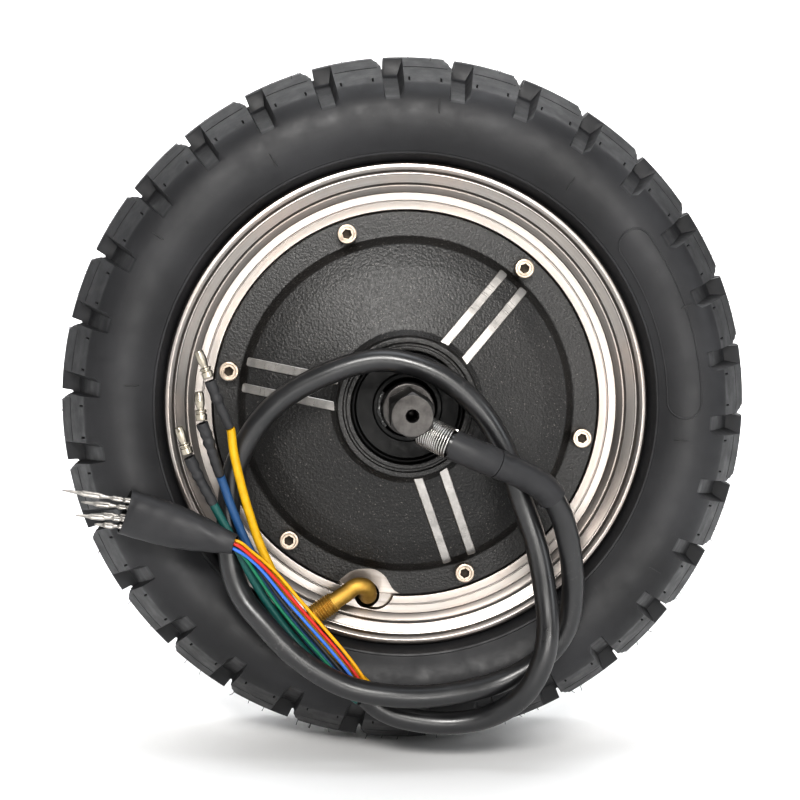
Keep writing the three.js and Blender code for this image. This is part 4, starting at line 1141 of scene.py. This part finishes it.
# ------------------------------------------------------------ phase leads, bullets
# colour: the bullet plug's two ends, the path of its shrink sleeve, the path of the wire
PHASE_LEADS = {
    "yellow": (
        [[-72.1, -57.0, 19.9], [-68.4, -56.4, 10.4]],
        [[-68.0, -56.3, 9.6], [-65.8, -55.4, 3.4], [-61.6, -53.0, -6.6]],
        [[-61.3, -52.6, -7.2], [-60.4, -51.9, -14.4], [-58.9, -51.5, -21.6],
         [-56.7, -50.2, -30.5], [-54.7, -49.2, -37.5], [-52.5, -48.1, -44.4],
         [-50.0, -47.0, -51.1], [-46.1, -45.7, -59.3], [-42.4, -44.7, -65.5],
         [-38.3, -43.9, -71.5], [-33.9, -43.4, -77.3], [-29.2, -43.0, -83.0],
         [-22.9, -42.8, -89.6], [-17.5, -42.7, -94.5], [-12.1, -42.6, -99.5]]),
    "blue": (
        [[-71.8, -57.0, 5.9], [-70.9, -56.4, -4.1]],
        [[-70.8, -56.3, -4.9], [-69.3, -55.6, -9.0], [-66.2, -53.6, -19.0],
         [-64.9, -52.2, -23.2]],
        [[-64.8, -51.9, -23.5], [-62.8, -50.8, -29.5], [-60.6, -50.3, -35.6],
         [-57.8, -49.0, -43.1], [-55.2, -47.8, -49.0], [-52.5, -46.7, -54.7],
         [-49.6, -45.7, -60.4], [-45.5, -44.7, -67.3], [-41.9, -44.0, -72.7],
         [-38.0, -43.5, -77.8], [-34.0, -43.1, -82.9], [-29.7, -42.9, -87.7],
         [-24.0, -42.7, -93.5], [-19.2, -42.6, -97.8], [-14.2, -42.6, -101.9]]),
    "green": (
        [[-78.9, -55.4, -6.3], [-75.5, -54.8, -15.9]],
        [[-75.3, -54.7, -16.8], [-71.6, -53.4, -24.7], [-67.2, -51.8, -33.2]],
        [[-67.0, -51.7, -33.6], [-64.3, -50.9, -38.9], [-61.4, -50.3, -44.2],
         [-58.1, -49.0, -50.9], [-55.7, -47.5, -56.2], [-53.1, -46.2, -61.4],
         [-50.2, -45.1, -66.6], [-46.1, -44.1, -72.8], [-42.6, -43.4, -77.7],
         [-39.0, -43.1, -82.4], [-35.1, -42.8, -87.0], [-31.1, -42.7, -91.5],
         [-25.7, -42.6, -96.8], [-21.2, -42.6, -100.8], [-16.4, -42.6, -104.4]]),
}
# radius, height from the open end, rounding
BULLET = [[0, 1.6, 0], [0.75, 1.6, 0.1], [0.8, 0.1, 0.1], [1.25, 0.0, 0.15], [1.42, 0.4, 0.2],
          [1.62, 1.6, 0.4], [1.68, 3.2, 0.6], [1.5, 4.6, 0.6], [1.22, 5.6, 0.3],
          [1.22, 6.1, 0.15], [1.95, 6.3, 0.15], [2.0, 6.9, 0.15], [1.6, 7.1, 0.1],
          [1.6, 7.5, 0.1], [1.95, 7.7, 0.15], [1.95, 9.7, 0.15], [1.6, 9.9, 0.1], [0, 9.9, 0]]
# pinched wrinkles where the sleeve steps down to the lead: fraction along it, depth
PINCHES = ((0.27, 0.20), (0.36, -0.10), (0.47, 0.16), (0.60, 0.10), (0.72, -0.06))
BARREL_SHRINK_R, SHRINK_STEP_DOWN, SHRINK_BORE_R = 1.98, 0.24, 1.58
PHASE_WIRE_R = 1.55


def bullet_shrink(points, bump):
    path = resample(smooth_path(points, 14), 0.45)
    count = len(path)
    along = np.arange(count) / count
    stepped = BARREL_SHRINK_R - SHRINK_STEP_DOWN / (1 + np.exp(-(along - 0.42) * 70))
    radii = end_swells(stepped, count, first=0.10, first_fade=2.2, last=-0.12, last_fade=3.0)
    for at, depth in PINCHES:
        radii -= depth * np.exp(-((along - at) * count / 1.6) ** 2)
    return sleeve(path, radii, SHRINK_BORE_R, 30, bump)


for k, (color, (plug_ends, shrink_points, wire_points)) in enumerate(PHASE_LEADS.items()):
    plug = lathe_along(fillet(BULLET, 3), 40, *plug_ends)
    piece(mesh_object(f"bullet_plug_{color}_pin", plug, GOLD, sharp=35, merge=MERGE),
          "stator", "plug_gold", f"bullet_plug_{color}")
    shrink = bullet_shrink(shrink_points, wrinkles(20 + k, 0.075))
    piece(mesh_object(f"bullet_shrink_{color}_skin", shrink, SHRINK, sharp=55),
          "stator", "heat_shrink", f"bullet_shrink_{color}")
    # the curve runs on from the sleeve's end; its span inside the sleeve is dropped
    path = resample(smooth_path(shrink_points[-2:] + wire_points, 12)[13:], 0.9)
    wire = tube(path, PHASE_WIRE_R, 22, bump=lambda i, angles: 0.02 * np.sin(i * 0.4 + angles))
    piece(mesh_object(f"phase_lead_{color}_wire", wire, PHASE_WIRES[color], sharp=60),
          "stator", f"wire_{color}", f"phase_lead_{color}")

# --------------------------------------------- signal tube, leads and terminals
TUBE_OPEN = np.array([-98.1, -48.6, -36.5])    # the wide open end, towards -X
TUBE_NECK = np.array([-59.4, -55.8, -46.6])
TUBE_LENGTH = np.linalg.norm(TUBE_NECK - TUBE_OPEN)
TUBE_AXIS = (TUBE_NECK - TUBE_OPEN) / TUBE_LENGTH
TUBE_UP = unit(np.array([0, -1.0, 0]) + TUBE_AXIS * TUBE_AXIS[1])      # towards the front
TUBE_ACROSS = np.cross(TUBE_AXIS, TUBE_UP)
TUBE_WALL = 0.5
# fraction along the tube, half width
TUBE_STATIONS = [0, 0.15, 0.3, 0.45, 0.58, 0.7, 0.82, 0.93, 1]
TUBE_HALF_WIDTHS = [8.05, 8.0, 7.85, 7.55, 6.9, 6.05, 5.0, 3.95, 3.4]


def tube_skin(inset, heights, sides):
    """Rings of the flattened tube: a squarer oval at the open end, wrinkled at the neck."""
    out = []
    for h in heights:
        q = h / TUBE_LENGTH
        half = float(np.interp(q, TUBE_STATIONS, TUBE_HALF_WIDTHS))
        flatness = 0.62 * (1 + 0.5 * q)
        for t in np.linspace(0, 2 * math.pi, sides, endpoint=False):
            x = signed_power(math.cos(t), 0.86 + 0.14 * q)
            y = signed_power(math.sin(t), 0.92 + 0.08 * q)
            wrinkle = (0.10 * math.sin(5 * t + 0.55 * h) * min(1, max(0, (q - 0.35) * 2))
                       + 0.05 * math.sin(3 * t - 0.9 * h))
            # the front wall is cut back at the open end
            cut_h = h + max(0.0, 1 - q / 0.12) * (2.1 * y - 0.5 * x)
            out.append(TUBE_OPEN + TUBE_AXIS * cut_h
                       + TUBE_ACROSS * ((half - inset + wrinkle) * x)
                       + TUBE_UP * ((half * flatness - inset + wrinkle) * y))
    return out


def signal_tube(rings=60, sides=56):
    heights = np.linspace(0, TUBE_LENGTH, rings)
    verts = tube_skin(0.0, heights, sides) + tube_skin(TUBE_WALL, heights[::-1], sides)
    # the inner skin takes the near-black painted shade
    inside = [int(rings <= i <= 2 * rings - 2) for i in range(2 * rings) for _ in range(sides)]
    return mesh_object("signal_tube_skin", (verts, grid_faces(2 * rings, sides)), SHRINK,
                       sharp=50, second=TUBE_INSIDE_SHADE, use_second=inside)


piece(signal_tube(), "stator", "heat_shrink", "signal_tube")

SIGNAL_WIRE_R = 0.62
# colour, degrees round the tube's neck, root's place across and up in the tube's mouth,
# the terminal's tip, the wire's path beyond the neck
SIGNALS = [
    ("red", 108, 4.6, 1.2, [-119.8, -48.4, -29.2],
     [[-58.0, -56.9, -47.0], [-54.2, -55.5, -50.3], [-49.9, -53.4, -54.5],
      [-46.6, -52.0, -58.2], [-43.4, -50.7, -62.1], [-40.3, -49.7, -66.1],
      [-36.2, -48.5, -71.1], [-32.9, -47.7, -75.0], [-29.6, -47.0, -79.0],
      [-26.2, -46.4, -82.9], [-22.9, -45.9, -87.0], [-19.0, -45.5, -92.1],
      [-16.1, -45.3, -96.3], [-13.4, -45.2, -100.9]]),
    ("yellow", 180, 1.8, -1.4, [-113.6, -46.0, -33.6],
     [[-57.5, -55.7, -46.0], [-54.1, -53.7, -49.2], [-49.5, -51.8, -53.3],
      [-45.9, -50.7, -56.8], [-42.5, -49.8, -60.7], [-39.3, -49.0, -64.7],
      [-35.2, -48.0, -69.7], [-31.8, -47.4, -73.7], [-28.5, -46.8, -77.7],
      [-25.1, -46.4, -81.7], [-21.8, -46.0, -85.7], [-17.8, -45.6, -90.9],
      [-14.9, -45.4, -95.2], [-12.5, -45.2, -99.9]]),
    ("green", 324, -4.9, -0.4, [-108.6, -48.4, -41.0],
     [[-58.6, -54.7, -48.8], [-55.7, -53.1, -52.3], [-52.4, -51.5, -57.5],
      [-49.7, -50.5, -61.8], [-47.0, -49.5, -66.0], [-44.1, -48.7, -70.2],
      [-40.2, -47.8, -75.3], [-36.9, -47.1, -79.3], [-33.6, -46.5, -83.2],
      [-30.3, -46.0, -87.1], [-26.9, -45.7, -91.1], [-22.7, -45.4, -96.0],
      [-19.5, -45.3, -100.1], [-16.0, -45.2, -103.9]]),
    ("blue", 36, -1.9, 1.7, [-114.8, -50.6, -37.6],
     [[-58.5, -56.4, -48.7], [-54.9, -54.4, -51.4], [-50.7, -52.5, -55.7],
      [-47.6, -51.3, -59.6], [-44.6, -50.2, -63.6], [-41.5, -49.2, -67.6],
      [-37.4, -48.2, -72.5], [-34.1, -47.4, -76.5], [-30.7, -46.8, -80.4],
      [-27.4, -46.3, -84.3], [-24.1, -45.9, -88.3], [-20.1, -45.6, -93.4],
      [-17.2, -45.5, -97.6], [-14.2, -45.2, -101.9]]),
    ("black", 252, -1.2, -1.6, [-110.2, -46.2, -37.9],
     [[-58.1, -54.3, -47.2], [-55.2, -52.4, -50.8], [-51.7, -50.8, -55.8],
      [-48.8, -50.0, -59.9], [-45.9, -49.2, -64.2], [-42.8, -48.6, -68.4],
      [-38.9, -47.8, -73.5], [-35.6, -47.2, -77.5], [-32.2, -46.6, -81.5],
      [-28.9, -46.1, -85.5], [-25.5, -45.8, -89.5], [-21.4, -45.4, -94.6],
      [-18.3, -45.2, -98.8], [-15.1, -45.2, -102.9]]),
]
# A pressed terminal: crimp wings, a waist, a box body and a tapered pin.
# fraction along it, half width, half height
TERMINAL = np.array([
    (0, 0.7, 0.7), (0.02, 0.95, 0.95), (0.05, 1.0, 1.0), (0.14, 1.0, 1.0), (0.17, 0.72, 0.6),
    (0.20, 0.95, 0.85), (0.30, 0.95, 0.85), (0.33, 0.6, 0.5), (0.36, 0.55, 0.4),
    (0.42, 0.72, 0.5), (0.50, 1.12, 0.78), (0.56, 1.15, 0.82), (0.60, 1.1, 0.8),
    (0.70, 1.1, 0.75), (0.76, 0.72, 0.5), (0.82, 0.6, 0.42), (0.92, 0.45, 0.32),
    (0.985, 0.25, 0.18), (1.0, 0.08, 0.06)])
SEAM_DEPTH, SEAM_WIDTH = 0.32, 0.28            # mm, radians


def terminal(root, tip, rows=90, sides=20):
    length = np.linalg.norm(tip - root)
    axis = (tip - root) / length
    across = unit(np.cross(axis, TUBE_UP))
    up = np.cross(across, axis)
    stations = TERMINAL[:, 0] * length
    verts = []
    for h in np.linspace(0, length, rows):
        width, height = (np.interp(h, stations, TERMINAL[:, k]) for k in (1, 2))
        has_seam = h < 0.32 * length or 0.48 * length < h < 0.72 * length
        for j in range(sides):
            g = 2 * math.pi * j / sides
            seam = SEAM_DEPTH * math.exp(-((g - math.pi / 2) / SEAM_WIDTH) ** 2) * has_seam
            verts.append(root + axis * h + across * (width * signed_power(math.cos(g), 0.8))
                         + up * ((height - seam) * signed_power(math.sin(g), 0.8)))
    return ring_solid(verts, sides, [root - axis * 0.001, tip])


def in_neck(along, radius, angle):
    return (TUBE_NECK + TUBE_AXIS * along + TUBE_ACROSS * (radius * math.cos(angle))
            + TUBE_UP * (radius * math.sin(angle)))


for color, neck_dir, root_across, root_up, tip, run in SIGNALS:
    angle = math.radians(neck_dir)
    root = TUBE_OPEN + TUBE_AXIS * 3.2 - TUBE_ACROSS * root_across + TUBE_UP * root_up
    points = [root + TUBE_AXIS * 0.6, root + TUBE_AXIS * 8,
              in_neck(-12, 1.5, angle), in_neck(-3, 1.3, angle)] + run
    wire = tube(resample(smooth_path(points, 10), 0.8), SIGNAL_WIRE_R, 12)
    piece(mesh_object(f"signal_lead_{color}_wire", wire, SIGNAL_WIRES[color], sharp=60),
          "stator", f"wire_{color}", f"signal_lead_{color}")
    piece(mesh_object(f"terminal_{color}_pin", terminal(root, np.array(tip)), TIN, sharp=40),
          "stator", "tinned", f"terminal_{color}")

# ------------------------------------------------- the CAD nodes that stay shown
STEEL = metal_look("bearing_steel_looks", dark=(0.50, 0.50, 0.51), light=(0.70, 0.70, 0.71),
                   rough=(0.12, 0.24))
COPPER = metal_look("winding_copper_looks", dark=(0.52, 0.20, 0.08), light=(0.80, 0.38, 0.18),
                    rough=(0.22, 0.38), scale=700, bump=0.3)
CAD_MATERIALS = {
    "inner_tube": rubber_look("inner_tube_looks", color=(0.03, 0.03, 0.032), rough=0.5),
    "valve_pin": BRASS,
    "flux_ring": metal_look("flux_ring_looks", dark=(0.20, 0.20, 0.21),
                            light=(0.34, 0.34, 0.35), rough=(0.35, 0.5)),
    "magnet_ring": metal_look("magnet_looks", dark=(0.52, 0.52, 0.53),
                              light=(0.68, 0.68, 0.69), rough=(0.22, 0.35)),
    "stator_hub": metal_look("hub_cast_looks", dark=(0.55, 0.55, 0.55),
                             light=(0.72, 0.71, 0.70), rough=(0.35, 0.5)),
    "stator_core": plain_look("lamination_looks", color=(0.16, 0.15, 0.15), rough=0.42,
                              metal=0.9, scale=900),
    "hall_board": plain_look("board_green_looks", color=(0.015, 0.12, 0.045), rough=0.35),
}
for _, label in SIDES:
    for part in ("bearing_outer", "bearing_inner", "ball_cage"):
        CAD_MATERIALS[f"{label}_{part}"] = STEEL
for phase in "abc":
    CAD_MATERIALS["winding_phase_" + phase] = COPPER
for node, material in CAD_MATERIALS.items():
    for slot in bpy.data.objects[node].material_slots:
        slot.material = material

# ------------------------------------- floor, lights, camera: lengths are in metres
FLOOR_Z = -0.1283
FLOOR_FRONT_Y, SWEEP_START_Y, SWEEP_R = -2.2, 1.1, 0.9
WALL_TOP_Z = 3.4
FLOOR_HALF_WIDTH = 4.0


def backdrop():
    """A floor that sweeps up into a wall behind the wheel."""
    profile = [(FLOOR_FRONT_Y, FLOOR_Z)]
    profile += [(SWEEP_START_Y + SWEEP_R * math.sin(g), FLOOR_Z + SWEEP_R - SWEEP_R * math.cos(g))
                for g in np.linspace(0, math.pi / 2, 24)]
    profile.append((SWEEP_START_Y + SWEEP_R, WALL_TOP_Z))
    mesh = bpy.data.meshes.new("studio_floor")
    verts = [(x, y, z) for y, z in profile for x in (-FLOOR_HALF_WIDTH, FLOOR_HALF_WIDTH)]
    mesh.from_pydata(verts, [], grid_faces(len(profile), 2, wrap_rows=False, wrap_cols=False))
    for polygon in mesh.polygons:
        polygon.use_smooth = True
    mesh.materials.append(two_tone_look(
        "studio_paper_looks", dark=(0.90, 0.90, 0.90), light=(0.94, 0.94, 0.94),
        rough=(0.82, 1.0), scale=2, bump=0.0))
    return link(bpy.data.objects.new("studio_floor", mesh))


backdrop()

# name, place, target, width, height, watts, colour
LIGHTS = [
    ("key_light", (-0.10, -1.15, 0.56), (0, 0, 0), 0.62, 0.24, 16, (1.0, 0.985, 0.96)),
    ("right_panel", (0.42, -1.15, 0.03), (0, 0, 0), 0.20, 0.75, 2.6, (1.0, 0.985, 0.965)),
    ("fill_light", (1.25, -0.60, 0.45), (0, 0, 0), 0.45, 0.8, 4.5, (0.96, 0.98, 1.0)),
    ("left_strip", (-1.25, -0.45, 0.05), (0, 0, 0), 0.22, 1.0, 1.1, (1, 0.98, 0.95)),
    ("top_light", (0.05, -0.25, 1.35), (0, 0, 0), 0.8, 0.6, 5.5, (0.93, 0.96, 1.0)),
    ("low_light", (0.15, -1.10, -0.085), (0, 0, -0.06), 0.8, 0.07, 3.0, (1, 0.98, 0.95)),
    ("back_light", (0.0, 0.75, 1.5), (0, 2.0, 0.2), 3.0, 0.8, 60, (1, 1, 1)),
]
for name, place, target, width, height, watts, color in LIGHTS:
    lamp = bpy.data.lights.new(name, "AREA")
    lamp.shape = "RECTANGLE"
    lamp.size, lamp.size_y = width, height
    lamp.energy, lamp.color = watts, color
    obj = link(bpy.data.objects.new(name, lamp))
    obj.location = place
    obj.rotation_euler = (Vector(target) - Vector(place)).to_track_quat("-Z", "Y").to_euler()


def studio_world():
    """Light that grows with height and is dimmer towards the front (-Y)."""
    world = bpy.data.worlds.new("studio_world")
    world.use_nodes = True
    nodes = Nodes(world.node_tree)
    direction = nodes.node("ShaderNodeTexCoord", {}).outputs["Generated"]
    xyz = nodes.node("ShaderNodeSeparateXYZ", {0: direction}).outputs
    by_height = nodes.remap(xyz["Z"], span=(-0.25, 0.75), to=(0.14, 0.40))
    by_depth = nodes.remap(xyz["Y"], span=(-0.98, -0.45), to=(0.40, 1.0))
    background = world.node_tree.nodes["Background"]
    nodes.feed((0.96, 0.98, 1.0), background.inputs["Color"])
    nodes.feed(nodes.math("MULTIPLY", by_height, by_depth), background.inputs["Strength"])
    return world


scene = bpy.context.scene
scene.world = studio_world()
scene.view_settings.view_transform = "Standard"
scene.view_settings.look = "None"
scene.view_settings.gamma = 0.78

CAMERA_PLACE = (-22.46 * MM, -600 * MM, 40.57 * MM)
CAMERA_YAW, CAMERA_PITCH, CAMERA_ROLL = -0.0352, -0.0677, -0.0119      # radians


def photo_camera():
    data = bpy.data.cameras.new("photo_camera")
    data.sensor_width, data.sensor_fit = 36.0, "HORIZONTAL"      # mm
    data.lens = 71.69355                                         # mm
    data.clip_start, data.clip_end = 0.02, 20
    camera = link(bpy.data.objects.new("photo_camera", data))
    turned = (Matrix.Rotation(CAMERA_YAW, 3, "Z") @ Matrix.Rotation(CAMERA_PITCH, 3, "X")
              @ Matrix.Rotation(CAMERA_ROLL, 3, "Y"))
    right, forward, up = turned.col[0], turned.col[1], turned.col[2]
    matrix = Matrix((right, up, -forward)).transposed().to_4x4()
    matrix.translation = CAMERA_PLACE
    camera.matrix_world = matrix
    return camera


scene.camera = photo_camera()
